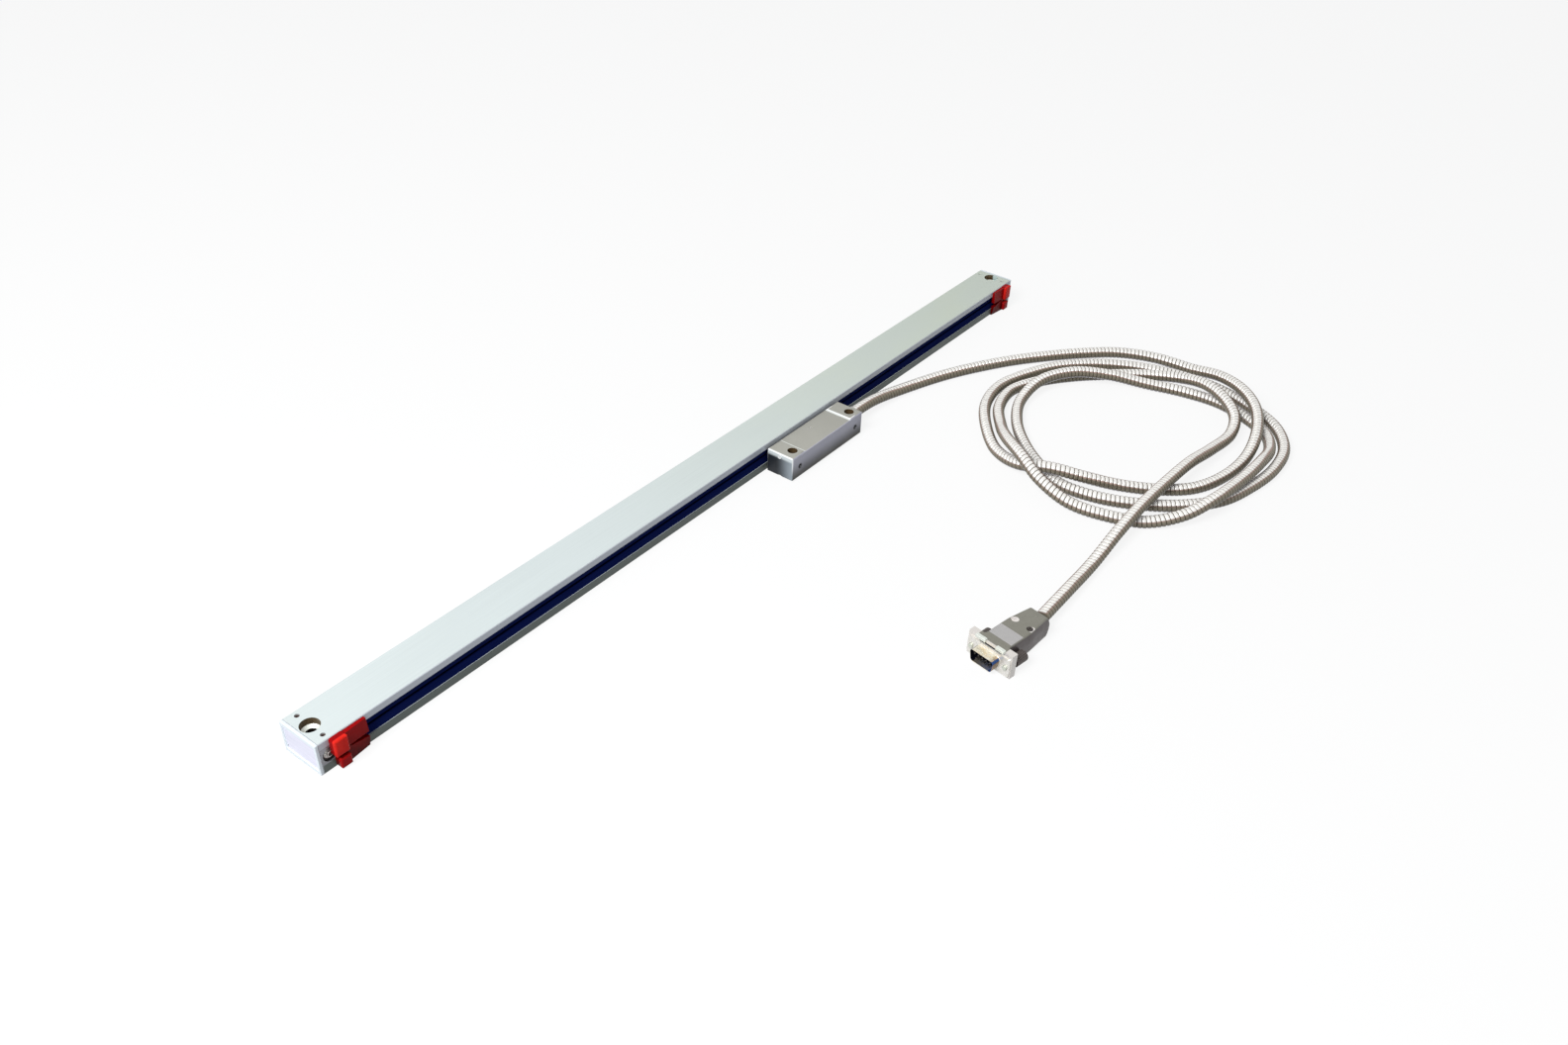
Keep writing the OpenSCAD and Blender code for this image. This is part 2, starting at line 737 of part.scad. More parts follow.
module head_cover() {
    color(cast_grey) difference() {
        box([room_near - cover_lap_x + fit, room_front - cover_lap_y + fit, head_low],
            [room_far + cover_lap_x - fit, room_back + cover_lap_y - fit, head_low + cover_t]);
        at_cover_screws() bar_z(0, head_h, cover_screw_r + fit);
    }
}

module head_cover_screws() {
    color(dark_steel) at_cover_screws() bar_z(head_low, head_low + cover_screw_len, cover_screw_r);
}

module at_board_posts() {
    for (x = [room_near + post_in, room_far - post_in], y = [room_front + post_in, room_back - post_in]) {
        translate([x, y, 0]) children();
    }
}

module head_board() {
    color(board_green) box([room_near + board_gap, room_front + board_gap, board_low],
                           [room_far - board_margin, room_back - board_gap, board_low + board_t]);
}

module cable_ferrule() {
    color(steel) difference() {
        union() {
            bar_x(head_far - ferrule_seat, head_far, ferrule_seat_r - fit, exit_y, exit_z);
            bar_x(head_far, ferrule_end, ferrule_r, exit_y, exit_z);
        }
        bar_x(head_far - ferrule_seat - over, ferrule_end - 1, cores_r + fit, cores_y, exit_z);
    }
}

module cable_cores() {
    color(black) bar_x(room_far - board_margin, ferrule_end - 1, cores_r, cores_y, exit_z);
}

// The blade passes between the lips and ends in a flange with two guide pins
module coupling_blade() {
    color(steel) translate([head_x, 0, 0]) {
        box([-blade_len / 2, head_back - head_wall, mid_z - blade_t / 2],
            [blade_len / 2, flange_front, mid_z + blade_t / 2]);
        box([-blade_len / 2, flange_front, mid_z - flange_half_h],
            [blade_len / 2, flange_back, mid_z + flange_half_h]);
        for (x = [-guide_x, guide_x]) {
            bar_y(flange_back, spine_front + guide_bite, guide_r, x, mid_z);
        }
    }
}

module carriage_springs() {
    steps = 12;
    wire_start = flange_back + wire_r;
    wire_end = spine_front + spring_pocket - wire_r;
    rise = (wire_end - wire_start) / (spring_turns * steps);
    coil = [for (i = [0 : spring_turns * steps])
        [spring_r * cos(i * 360 / steps), wire_start + i * rise, spring_r * sin(i * 360 / steps)]];
    color(steel) for (x = [-guide_x, guide_x]) {
        translate([head_x + x, 0, mid_z]) tube(coil, wire_r, 8, [0, 1, 0]);
    }
}

module carriage() {
    half = carriage_len / 2;
    color(cast_grey) translate([head_x, 0, 0]) difference() {
        box([-half, spine_front, carriage_low], [half, arm_end, carriage_high]);
        box([-half - over, spine_back, throat_low], [half + over, arm_end + over, throat_high]);
        for (x = [-guide_x, guide_x]) {
            bar_y(spine_front - over, spine_front + spring_pocket, spring_r + wire_r + 2 * fit, x, mid_z);
            bar_y(spine_front, spine_front + guide_bite + fit, guide_r + fit, x, mid_z);
        }
        for (x = [-face_roller_x, face_roller_x]) {
            side = face_roller_w / 2 + roller_room;
            reach = roller_r + roller_room;
            box([x - reach, face_roller_y - side, throat_high - over],
                [x + reach, face_roller_y + side, carriage_high + over]);
            bar_y(face_roller_y - face_roller_w / 2 - pin_bite, arm_end + over, roller_pin_r + fit / 5, x,
                  face_roller_z);
        }
        for (x = [-edge_roller_x, edge_roller_x]) {
            reach = roller_r + roller_room;
            box([x - reach, edge_roller_y - reach, throat_low], [x + reach, spine_back + over, throat_high]);
            bar_z(throat_low - pin_bite, throat_high + pin_bite, roller_pin_r + fit / 5, x, edge_roller_y);
        }
        bar_z(throat_high - over, carriage_high + over, lamp_r + fit, 0, lamp_y);
        box([-grating_len / 2 - fit, lamp_y - grating_w / 2 - fit, throat_low - grating_sink],
            [grating_len / 2 + fit, lamp_y + grating_w / 2 + fit, throat_low + over]);
        box([-detector_len / 2 - fit, lamp_y - detector_w / 2 - fit, throat_low - detector_depth],
            [detector_len / 2 + fit, lamp_y + detector_w / 2 + fit, throat_low + over]);
    }
}

module index_grating() {
    color(glass_green) translate([head_x, lamp_y, throat_low - grating_sink])
        translate([-grating_len / 2, -grating_w / 2, 0]) cube([grating_len, grating_w, grating_t]);
}

module detector_board() {
    color(board_green) translate([head_x, lamp_y, throat_low - detector_depth])
        translate([-detector_len / 2, -detector_w / 2, 0]) cube([detector_len, detector_w, detector_t]);
}

module lamp() {
    color(brass) translate([head_x, lamp_y, throat_high]) cylinder(h = lamp_len, r = lamp_r);
}

module roller_pins() {
    color(steel) translate([head_x, 0, 0]) {
        for (x = [-face_roller_x, face_roller_x]) {
            bar_y(face_roller_y - face_roller_w / 2 - pin_bite, arm_end, roller_pin_r, x, face_roller_z);
        }
        for (x = [-edge_roller_x, edge_roller_x]) {
            bar_z(throat_low - pin_bite, throat_high + pin_bite, roller_pin_r, x, edge_roller_y);
        }
    }
}

module face_roller(side) {
    y = face_roller_y - face_roller_w / 2;
    color(steel) translate([head_x + side * face_roller_x, 0, face_roller_z]) difference() {
        bar_y(y, y + face_roller_w, roller_r);
        bar_y(y - over, y + face_roller_w + over, roller_pin_r + running);
    }
}

module edge_roller(side) {
    color(steel) translate([head_x + side * edge_roller_x, edge_roller_y, mid_z]) difference() {
        cylinder(h = edge_roller_h, r = roller_r, center = true);
        cylinder(h = edge_roller_h + over, r = roller_pin_r + running, center = true);
    }
}

// ---------------------------------------------------------------- cable and plug

module hose() {
    color(steel) tube(ROUTE, hose_d / 2, hose_sides);
}

module place_plug() {
    translate(plug_at) rotate([0, 0, plug_turn]) children();
}

// The hood's outline from above, smaller by gap at its sides
module hood_outline(gap = 0) {
    front = hood_front_w / 2 - gap;
    middle = hood_mid_w / 2 - gap;
    rear = hood_rear_w / 2 - gap;
    tip = hood_end - gap;
    polygon([
        [rim_x, -front], [hood_step_x, -front], [hood_step_x + 1, -middle], [hood_kink_x, -middle],
        [tip, -rear], [tip, rear], [hood_kink_x, middle], [hood_step_x + 1, middle],
        [hood_step_x, front], [rim_x, front]
    ]);
}

// The connector's outline, seen from the front
module shell_outline(gap = 0) {
    r = shell_corner_r - gap;
    top = shell_w / 2 - gap - r;
    bottom = top - (shell_h - 2 * shell_corner_r) * shell_slope;
    reach = shell_h / 2 - shell_corner_r;
    hull() {
        for (y = [-top, top]) translate([y, reach]) circle(r, $fn = 32);
        for (y = [-bottom, bottom]) translate([y, -reach]) circle(r, $fn = 32);
    }
}

module shell_bar(from, to, gap = 0) {
    translate([0, 0, plug_z]) along_x(from, to) shell_outline(gap);
}

module at_hood_screws() {
    for (y = [-hood_screw_y, hood_screw_y]) translate([rim_x + hood_screw_x, y, 0]) children();
}

// The whole hood, of which each half keeps one side
module hood_form() {
    difference() {
        union() {
            translate([0, 0, hood_low]) linear_extrude(hood_h) hood_outline();
            box([rim_x, -rim_w / 2, 0], [hood_x, rim_w / 2, rim_h]);
        }
        difference() {
            translate([0, 0, hood_low + hood_wall]) linear_extrude(hood_h - 2 * hood_wall)
                hood_outline(hood_wall);
            at_hood_screws() bar_z(0, rim_h, boss_r);
        }
        shell_bar(0, hood_x + over, -0.3);
        for (y = [-jack_y, jack_y]) bar_x(0, hood_x + over, jack_r + running, y, plug_z);
        at_hood_screws() {
            bar_z(hood_low + hood_wall, hood_high + over, hood_screw_r + fit);
            bar_z(hood_high - hood_screw_head_h, hood_high + over, hood_screw_head_r + fit);
        }
    }
}

module plug_hood(low, high) {
    color(cast_grey) place_plug() intersection() {
        hood_form();
        box([-over, -rim_w, low], [hood_end + over, rim_w, high]);
    }
}

module plug_hood_screws() {
    color(dark_steel) place_plug() at_hood_screws() {
        bar_z(hood_low + hood_wall + fit, hood_high - hood_screw_head_h, hood_screw_r);
        bar_z(hood_high - hood_screw_head_h, hood_high, hood_screw_head_r);
    }
}

module plug_shell() {
    color(brass) place_plug() difference() {
        union() {
            translate([0, 0, plug_z]) along_x(0, flange_plate_t) round_rect(flange_w, flange_h, 2);
            shell_bar(-shell_reach, flange_plate_t / 2);
        }
        shell_bar(-shell_reach - over, flange_plate_t + over, shell_t);
        for (y = [-jack_y, jack_y]) bar_x(-over, flange_plate_t + over, jack_r + running, y, plug_z);
    }
}

module plug_insulator() {
    color(navy) place_plug() difference() {
        shell_bar(-0.8, hood_x + 1, shell_t + fit);
        for (c = contacts) bar_x(-over - 1, hood_x + 2, contact_r + fit / 2, c[0], plug_z + c[1]);
    }
}

module plug_contacts() {
    color(brass) place_plug() for (c = contacts) {
        bar_x(-shell_reach + 0.8, hood_x + 3, contact_r, c[0], plug_z + c[1]);
    }
}

module plug_clamp() {
    clamp_end = hood_end - hood_wall;
    color(steel) place_plug() difference() {
        bar_x(clamp_end - clamp_len, clamp_end, hood_rear_w / 2 - hood_wall, 0, hood_split);
        bar_x(clamp_end - clamp_len - over, clamp_end + over, 2, 0, hood_split);
    }
}

module jackscrew(side) {
    collar_x = hood_x + moving_gap;
    color(steel) place_plug() translate([0, side * jack_y, plug_z]) {
        bar_x(jack_tip, jack_knob_x, jack_r);
        bar_x(collar_x, collar_x + jack_collar_t, jack_collar_r);
        bar_x(jack_knob_x, jack_knob_x + jack_knob_len, knob_r);
    }
}

// ---------------------------------------------------------------- one line for each node

housing();
end_plate(-1);  // end_plate_near
end_plate(1);  // end_plate_far
end_gasket(-1);  // end_gasket_near
end_gasket(1);  // end_gasket_far
end_block(-1);  // end_block_near
end_block(1);  // end_block_far
end_block_screws();
air_plug(-1);  // air_plug_near
air_plug(1);  // air_plug_far
glass_scale();
glass_bed(glass_high);  // glass_bed_upper
glass_bed(glass_low - bed_t);  // glass_bed_lower
seal_lip(1);  // seal_lip_upper
seal_lip(-1);  // seal_lip_lower
clip(-1);  // clip_near
clip(1);  // clip_far
head_body();
head_cover();
head_cover_screws();
head_board();
head_end_screw();
cable_ferrule();
cable_cores();
coupling_blade();
carriage();
carriage_springs();
index_grating();
detector_board();
lamp();
roller_pins();
face_roller(-1);  // face_roller_near
face_roller(1);  // face_roller_far
edge_roller(-1);  // edge_roller_near
edge_roller(1);  // edge_roller_far
hose();
plug_hood(-over, hood_split);  // plug_hood_lower
plug_hood(hood_split, rim_h + over);  // plug_hood_upper
plug_hood_screws();
plug_shell();
plug_insulator();
plug_contacts();
plug_clamp();
jackscrew(1);  // jackscrew_left
jackscrew(-1);  // jackscrew_right
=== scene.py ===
"""Dresses a sealed linear glass scale: its housing, reading head, armoured cable and plug."""

import json
import math

import bmesh
import bpy
from bpy.props import FloatProperty, FloatVectorProperty, IntProperty, PointerProperty
from mathutils import Matrix, Vector

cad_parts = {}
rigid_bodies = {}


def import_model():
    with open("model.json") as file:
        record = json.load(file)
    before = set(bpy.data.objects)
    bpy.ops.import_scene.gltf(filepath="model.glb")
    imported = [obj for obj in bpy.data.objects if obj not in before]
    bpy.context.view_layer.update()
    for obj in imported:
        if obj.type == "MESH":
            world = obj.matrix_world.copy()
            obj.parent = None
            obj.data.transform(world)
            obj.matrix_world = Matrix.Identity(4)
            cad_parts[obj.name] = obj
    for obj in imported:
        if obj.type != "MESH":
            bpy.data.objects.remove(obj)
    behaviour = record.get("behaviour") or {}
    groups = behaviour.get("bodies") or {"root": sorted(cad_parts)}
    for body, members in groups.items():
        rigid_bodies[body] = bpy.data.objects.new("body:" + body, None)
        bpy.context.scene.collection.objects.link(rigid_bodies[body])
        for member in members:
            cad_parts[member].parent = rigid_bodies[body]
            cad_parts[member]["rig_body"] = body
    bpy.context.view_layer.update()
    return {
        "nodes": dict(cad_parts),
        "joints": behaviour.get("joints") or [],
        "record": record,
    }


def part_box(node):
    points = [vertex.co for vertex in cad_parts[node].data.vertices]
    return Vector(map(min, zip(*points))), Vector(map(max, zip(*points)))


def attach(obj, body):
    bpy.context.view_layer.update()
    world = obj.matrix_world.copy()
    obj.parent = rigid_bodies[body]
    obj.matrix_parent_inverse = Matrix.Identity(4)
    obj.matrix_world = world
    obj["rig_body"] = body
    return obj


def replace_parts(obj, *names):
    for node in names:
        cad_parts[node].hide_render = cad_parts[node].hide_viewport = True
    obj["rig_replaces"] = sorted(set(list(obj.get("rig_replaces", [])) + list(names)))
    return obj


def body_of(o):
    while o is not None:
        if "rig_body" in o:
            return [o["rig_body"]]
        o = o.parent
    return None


bl_info = {
    "name": "Linear glass scale",
    "version": (1, 0, 0),
    "blender": (4, 5, 0),
    "location": "3D View > Sidebar > Glass scale",
    "description": "Models and paints a sealed linear glass scale with its cable and plug",
    "category": "Add Mesh",
}

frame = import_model()
NODES = frame["nodes"]
MM = 0.001

# The cable's route along its middle, in millimetres, from the ferrule to the plug
ROUTE = (
    (107, -26, 9.5), (130, -26, 8), (160, -30, 5), (205, -45, 4.5), (249, -68, 4.5),
    (276, -87, 4.5), (301, -108, 4.5), (321, -130, 4.5), (332, -156, 4.5), (334, -184, 4.5),
    (328, -210, 10), (313, -233, 13.5), (291, -252, 14), (263, -264, 11), (234, -268, 6.5),
    (205, -264, 4.5), (180, -254, 4.5), (163, -236, 4.5), (149, -215, 6), (135, -194, 11),
    (126, -173, 14), (124, -150, 8.5), (135, -127, 4.5), (158, -105, 4.5), (185, -89, 4.5),
    (215, -84, 4.5), (246, -92, 4.5), (273, -106, 4.5), (295, -128, 4.5), (310, -154, 4.5),
    (318, -183, 4.5), (318, -213, 4.5), (309, -242, 4.5), (293, -268, 4.5), (268, -284, 4.5),
    (238, -288, 4.5), (208, -284, 4.5), (179, -275, 4.5), (156, -257, 4.5), (139, -234, 4.5),
    (128, -208, 4.5), (126, -182, 4.5), (138, -159, 4.5), (155, -138, 4.5), (178, -119, 4.5),
    (205, -107, 5.5), (232, -108, 10.5), (257, -122, 12), (275, -143, 9.5), (288, -168, 5.5),
    (297, -195, 4.5), (299, -222, 4.5), (291, -247, 4.5), (277, -267, 5), (257, -277, 7),
    (228, -280.5, 12.5), (195, -279, 13.5), (163, -274, 13.5), (140, -264, 9), (123, -246, 4.5),
    (113, -223, 4.5), (107, -198, 7), (109, -175, 13.5), (120, -153, 19), (140, -131, 14),
    (163, -114, 6.5), (187, -99, 4.5), (214, -94, 4.5), (241, -104, 4.5), (265, -121, 4.5),
    (286, -142, 4.5), (301, -163, 5.5), (308, -186, 8.5), (303, -207, 13.5), (293, -226, 13.5),
    (277, -242, 11), (257, -248, 8), (226, -246, 9.5), (195, -243, 13), (160, -241, 13.5),
    (125, -240, 13.5), (92, -240, 11), (60, -240, 5.5), (22, -241, 6.5), (-15, -242, 8),
)

# The plug's own frame starts on the floor under the middle of its front; these lengths lie in it
HOOD_SCREWS_BACK = 28 * MM
HOOD_SCREWS_ASIDE = 6.1 * MM
JACKSCREWS_ASIDE = 12.5 * MM
# Radius of the mounting holes' wide part, with a hair to spare for the paint on its wall
WIDE_BORE = 5.52 * MM
WHITE = (1.0, 1.0, 1.0)


def ink(red, green, blue):
    """A colour given as a screen shows it, turned into the light that it stands for."""
    channels = (red / 255, green / 255, blue / 255)
    return tuple(c / 12.92 if c <= 0.04045 else ((c + 0.055) / 1.055) ** 2.4 for c in channels)


# ------------------------------------------------------------------ settings


def size(name, about, default):
    """A length setting, in metres."""
    return FloatProperty(
        name=name, description=about, default=default, min=0, unit="LENGTH", subtype="DISTANCE"
    )


def count(name, about, default, least, most):
    """A whole number setting."""
    return IntProperty(name=name, description=about, default=default, min=least, max=most)


def tint(name, about, default):
    """A colour setting."""
    return FloatVectorProperty(
        name=name, description=about, default=default, min=0, max=1, size=3, subtype="COLOR"
    )


class StageSettings(bpy.types.PropertyGroup):
    """Camera, lamp and surroundings."""

    lens: FloatProperty(
        name="Lens", description="Focal length on a 36 mm sensor, in millimetres",
        default=30.75, min=10, unit="CAMERA",
    )
    key_power: FloatProperty(
        name="Key lamp", description="Power of the large lamp beside the near end",
        default=27, min=0, unit="POWER",
    )
    ambient: FloatProperty(
        name="Ambient light", description="Strength of the light from all round",
        default=0.34, min=0, max=1, subtype="FACTOR",
    )
    bounce: tint("Floor", "Colour that the floor casts back onto the scale", ink(150, 152, 156))


class HousingSettings(bpy.types.PropertyGroup):
    """The scale unit's finishes."""

    aluminium: tint("Aluminium", "Satin anodised aluminium", ink(213, 222, 222))
    # The rail colours are painted shade on the front face, which turns away from the light,
    # deepest below the slot.
    shaded_upper_rail: tint("Upper rail", "Front face above the slot", ink(196, 201, 209))
    shaded_lower_rail: tint("Lower rail", "Front face below the slot", ink(96, 104, 100))
    metal: tint("End metal", "Milled metal of the end blocks", ink(150, 152, 158))
    lips: tint("Seal lips", "Rubber of the seal lips", ink(14, 26, 80))
    edge: size("Edge rounding", "Rounding of the end plates' edges", 0.35 * MM)


class ClipSettings(bpy.types.PropertyGroup):
    """The transport clips."""

    plastic: tint("Plastic", "Moulded plastic of the clips", ink(178, 5, 10))
    edge: size("Edge rounding", "Rounding of the clips' edges", 0.5 * MM)
    lean: size("Lean of the legs", "How far the legs' outer edges fall back", 1.5 * MM)


class HeadSettings(bpy.types.PropertyGroup):
    """The reading head."""

    casting: tint("Casting", "Fine blasted metal of the head", ink(178, 177, 168))
    # The front colour and the foot colour paint the front lit at the top and in painted shade at
    # the foot.
    front: tint("Front", "Upper part of the head's front", ink(186, 186, 200))
    foot: tint("Foot", "Lower part of the head's sides", ink(66, 66, 62))
    edge: size("Edge rounding", "Rounding of the head's steps", 0.3 * MM)


class HoseSettings(bpy.types.PropertyGroup):
    """The cable's wound steel armour."""

    # Painted light: steel is the painted highlight, flank and the far side are painted shade, the
    # underside a painted floor reflection, the groove colour painted shade.
    steel: tint("Steel", "Wound steel strip where it is polished", ink(252, 250, 246))
    flank_shade: tint("Flank", "Film on the armour's flanks", ink(134, 126, 110))
    shade: tint("Far side", "Film on the side away from the bright side", ink(84, 80, 66))
    under: tint("Underside", "Pale underside", ink(186, 182, 190))
    stain: tint("Groove", "Dark film in the grooves", ink(92, 82, 68))
    diameter: size("Diameter", "Outer diameter of the armour", 8.5 * MM)
    pitch: size("Pitch", "Distance from one turn of the strip to the next", 3 * MM)
    groove: size("Groove depth", "Depth of the groove between two turns", 0.7 * MM)
    sides: count("Sides", "Points round the armour", 16, 8, 24)


class PlugSettings(bpy.types.PropertyGroup):
    """The plug's hood and connector."""

    hood: tint("Hood", "Plated die cast hood", ink(134, 132, 122))
    # The sides' colour is painted shade on the hood's sides, below its top.
    side: tint("Hood's sides", "Darker plating on the hood's sides", ink(84, 76, 76))
    plate: tint("Front plate", "Bright plate on the hood's front", ink(226, 221, 216))
    shell: tint("Shell", "Plated steel of the connector's shell", ink(232, 226, 208))
    edge: size("Edge rounding", "Rounding of the hood's edges", 0.9 * MM)
    wall: size("Wall", "Wall of the hood", 1.2 * MM)
    bulge: size("Bulge", "How far the hood's rear end swells at mid height", 3 * MM)
    knurls: count("Knurls", "Ridges round a jackscrew's knob", 18, 8, 30)


# ------------------------------------------------------------------ node maths


def maths(operation, turned=False):
    """A method of Value that adds a Math node; turned gives the reflected form."""

    def method(value, other=0.0):
        first, second = (other, value) if turned else (value, other)
        return value.tree.node("ShaderNodeMath", {"operation": operation}, {0: first, 1: second})

    return method


class Value:
    """A number or colour that varies over a surface; arithmetic on it adds Math nodes."""

    def __init__(self, tree, socket):
        self.tree = tree
        self.socket = socket

    __add__, __radd__ = maths("ADD"), maths("ADD", turned=True)
    __sub__, __rsub__ = maths("SUBTRACT"), maths("SUBTRACT", turned=True)
    __mul__, __rmul__ = maths("MULTIPLY"), maths("MULTIPLY", turned=True)
    __pow__, __rpow__ = maths("POWER"), maths("POWER", turned=True)
    __abs__ = maths("ABSOLUTE")
    sine = maths("SINE")
    most = maths("MAXIMUM")


class Tree:
    """A node tree, with one way to add a node to it."""

    def __init__(self, tree):
        self.nodes = tree.nodes
        self.links = tree.links

    def feed(self, socket, value):
        """Sets a socket to a number, a vector or a colour, or links a value to it."""
        if isinstance(value, Value):
            self.links.new(value.socket, socket)
        elif socket.type == "RGBA":
            socket.default_value = (*value, 1.0)
        else:
            socket.default_value = value

    def node(self, kind, settings=None, inputs=None, output=0):
        """Adds any node: its settings first, then its sockets' values or links."""
        made = self.nodes.new(kind)
        for name, value in (settings or {}).items():
            setattr(made, name, value)
        for name, value in (inputs or {}).items():
            self.feed(made.inputs[name], value)
        return Value(self, made.outputs[output])

    def seen(self):
        """1 for rays from the camera, off glossy surfaces and through clear ones, or else 0."""
        camera, glossy, clear = (
            self.node("ShaderNodeLightPath", output=f"Is {kind} Ray")
            for kind in ("Camera", "Glossy", "Transmission")
        )
        return camera.most(glossy).most(clear)


class Finish(Tree):
    """One procedural material, built round a Principled shader."""

    def __init__(self, name, constants):
        self.material = bpy.data.materials.new(name)
        self.material.use_nodes = True
        super().__init__(self.material.node_tree)
        self.shader = self.nodes["Principled BSDF"]
        for socket, value in constants.items():
            self.feed(self.shader.inputs[socket], value)
        self.place = self.node("ShaderNodeTexCoord", output="Object")

    def paint(self, **sockets):
        """Feeds the shader's sockets that vary, and gives the material."""
        for name, value in sockets.items():
            self.feed(self.shader.inputs[name.replace("_", " ").title()], value)
        return self.material

    def raised(self, height, depth, **sockets):
        """Paints the material, and raises its surface by height times depth metres."""
        normal = self.node("ShaderNodeBump", None, {"Height": height, "Distance": depth})
        return self.paint(normal=normal, **sockets)

    def axes(self):
        """The place on the piece in metres: along the scale, into its depth and up."""
        split = self.node("ShaderNodeSeparateXYZ", inputs={"Vector": self.place})
        return [Value(self, output) for output in split.socket.node.outputs]

    def along(self, vector, direction):
        """How far a vector reaches in a direction."""
        return self.node(
            "ShaderNodeVectorMath", {"operation": "DOT_PRODUCT"}, {0: vector, 1: direction},
            output="Value",
        )

    def plug_axis(self, row):
        """The place in the plug's own frame: how far back for row 0, how far left for row 1."""
        *direction, start = plug_frame().inverted()[row]
        return self.along(self.place, direction) + start

    def noise(self, grain, detail=3.0, stretch=(1, 1, 1)):
        """Noise from 0 to 1 with blotches about grain metres across, stretched along each axis."""
        scaled = self.node(
            "ShaderNodeVectorMath", {"operation": "MULTIPLY"},
            {0: self.place, 1: tuple(1 / (grain * s) for s in stretch)},
        )
        return self.node(
            "ShaderNodeTexNoise", None, {"Vector": scaled, "Scale": 1.0, "Detail": detail}
        )

    def step(self, value, low, high, first, last):
        """A smooth change from first to last, as value goes from low to high."""
        return self.node(
            "ShaderNodeMapRange", {"interpolation_type": "SMOOTHSTEP"},
            {"Value": value, "From Min": low, "From Max": high, "To Min": first, "To Max": last},
        )

    def rise(self, value, low, high, most=1.0):
        """A mask that grows from 0, as value goes from low to high."""
        return self.step(value, low, high, 0.0, most)

    def fall(self, value, low, high, most=1.0):
        """A mask that shrinks to 0, as value goes from low to high."""
        return self.step(value, low, high, most, 0.0)

    def vary(self, marks, first, last):
        """A number between two, spread over the usual range of a noise."""
        return self.step(marks, 0.3, 0.7, first, last)

    def mix(self, factor, first, second):
        """A mix of two colours."""
        return self.node(
            "ShaderNodeMix", {"data_type": "RGBA"}, {0: factor, 6: first, 7: second}, output=2
        )

    def grained(self, marks, colour, dark, light, low=0.3, high=0.7):
        """A colour that grows from a darker to a lighter form, as marks go from low to high."""
        return self.mix(self.rise(marks, low, high), shade(colour, dark), shade(colour, light))


def shade(colour, factor):
    """A lighter or darker form of a colour."""
    return tuple(min(1.0, c * factor) for c in colour)


def away(*gaps):
    """The distance that gaps along different axes make up."""
    return sum(gap ** 2 for gap in gaps) ** 0.5


# ------------------------------------------------------------------ finishes


def bored(made, body, spots, reach, top, seat_z, bright=0.0):
    """Paints the walls of holes that run down from top: brown, then a seat and a shaft in painted
    shade.

    Where bright is 1, the seats and the last hole's far wall get a painted highlight in white.
    """
    across, deep, up = made.axes()
    last_x = spots[-1][0]
    inside = sum(
        made.fall(away(across - x, deep - y), reach, reach * 1.02) for x, y, _ in spots
    )
    wall = made.mix(made.noise(1.6 * MM), ink(58, 42, 26), ink(112, 92, 64))
    # Painted highlight: the last hole's far wall is painted near white.
    glare = made.rise(across, last_x - 1.5 * MM, last_x, bright)
    glare = glare * made.fall(deep, 0.5 * MM, 1.5 * MM)
    wall = made.mix(glare, wall, ink(206, 226, 224))
    # Painted highlight on the seats, where bright is 1.
    seats = made.fall(up, seat_z - 0.02 * MM, seat_z + 0.02 * MM, bright)
    wall = made.mix(seats, wall, ink(238, 242, 234))
    # Painted shade down the narrow shaft below the seat.
    shaft = made.fall(up, seat_z - 1.25 * MM, seat_z - 1.15 * MM)
    wall = made.mix(shaft, wall, ink(34, 26, 20))
    return made.mix(inside * made.fall(up, top - 0.1 * MM, top - 0.02 * MM), body, wall)


def mounting_bores(made, body):
    """Paints the walls of the two mounting holes, in the housing and in its end blocks, with
    painted shade and painted highlights.
    """
    seat_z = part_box("end_block_near")[1].z - 1.7 * MM
    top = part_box("housing")[1].z
    return bored(made, body, holes("housing_holes"), WIDE_BORE, top, seat_z, 1.0)


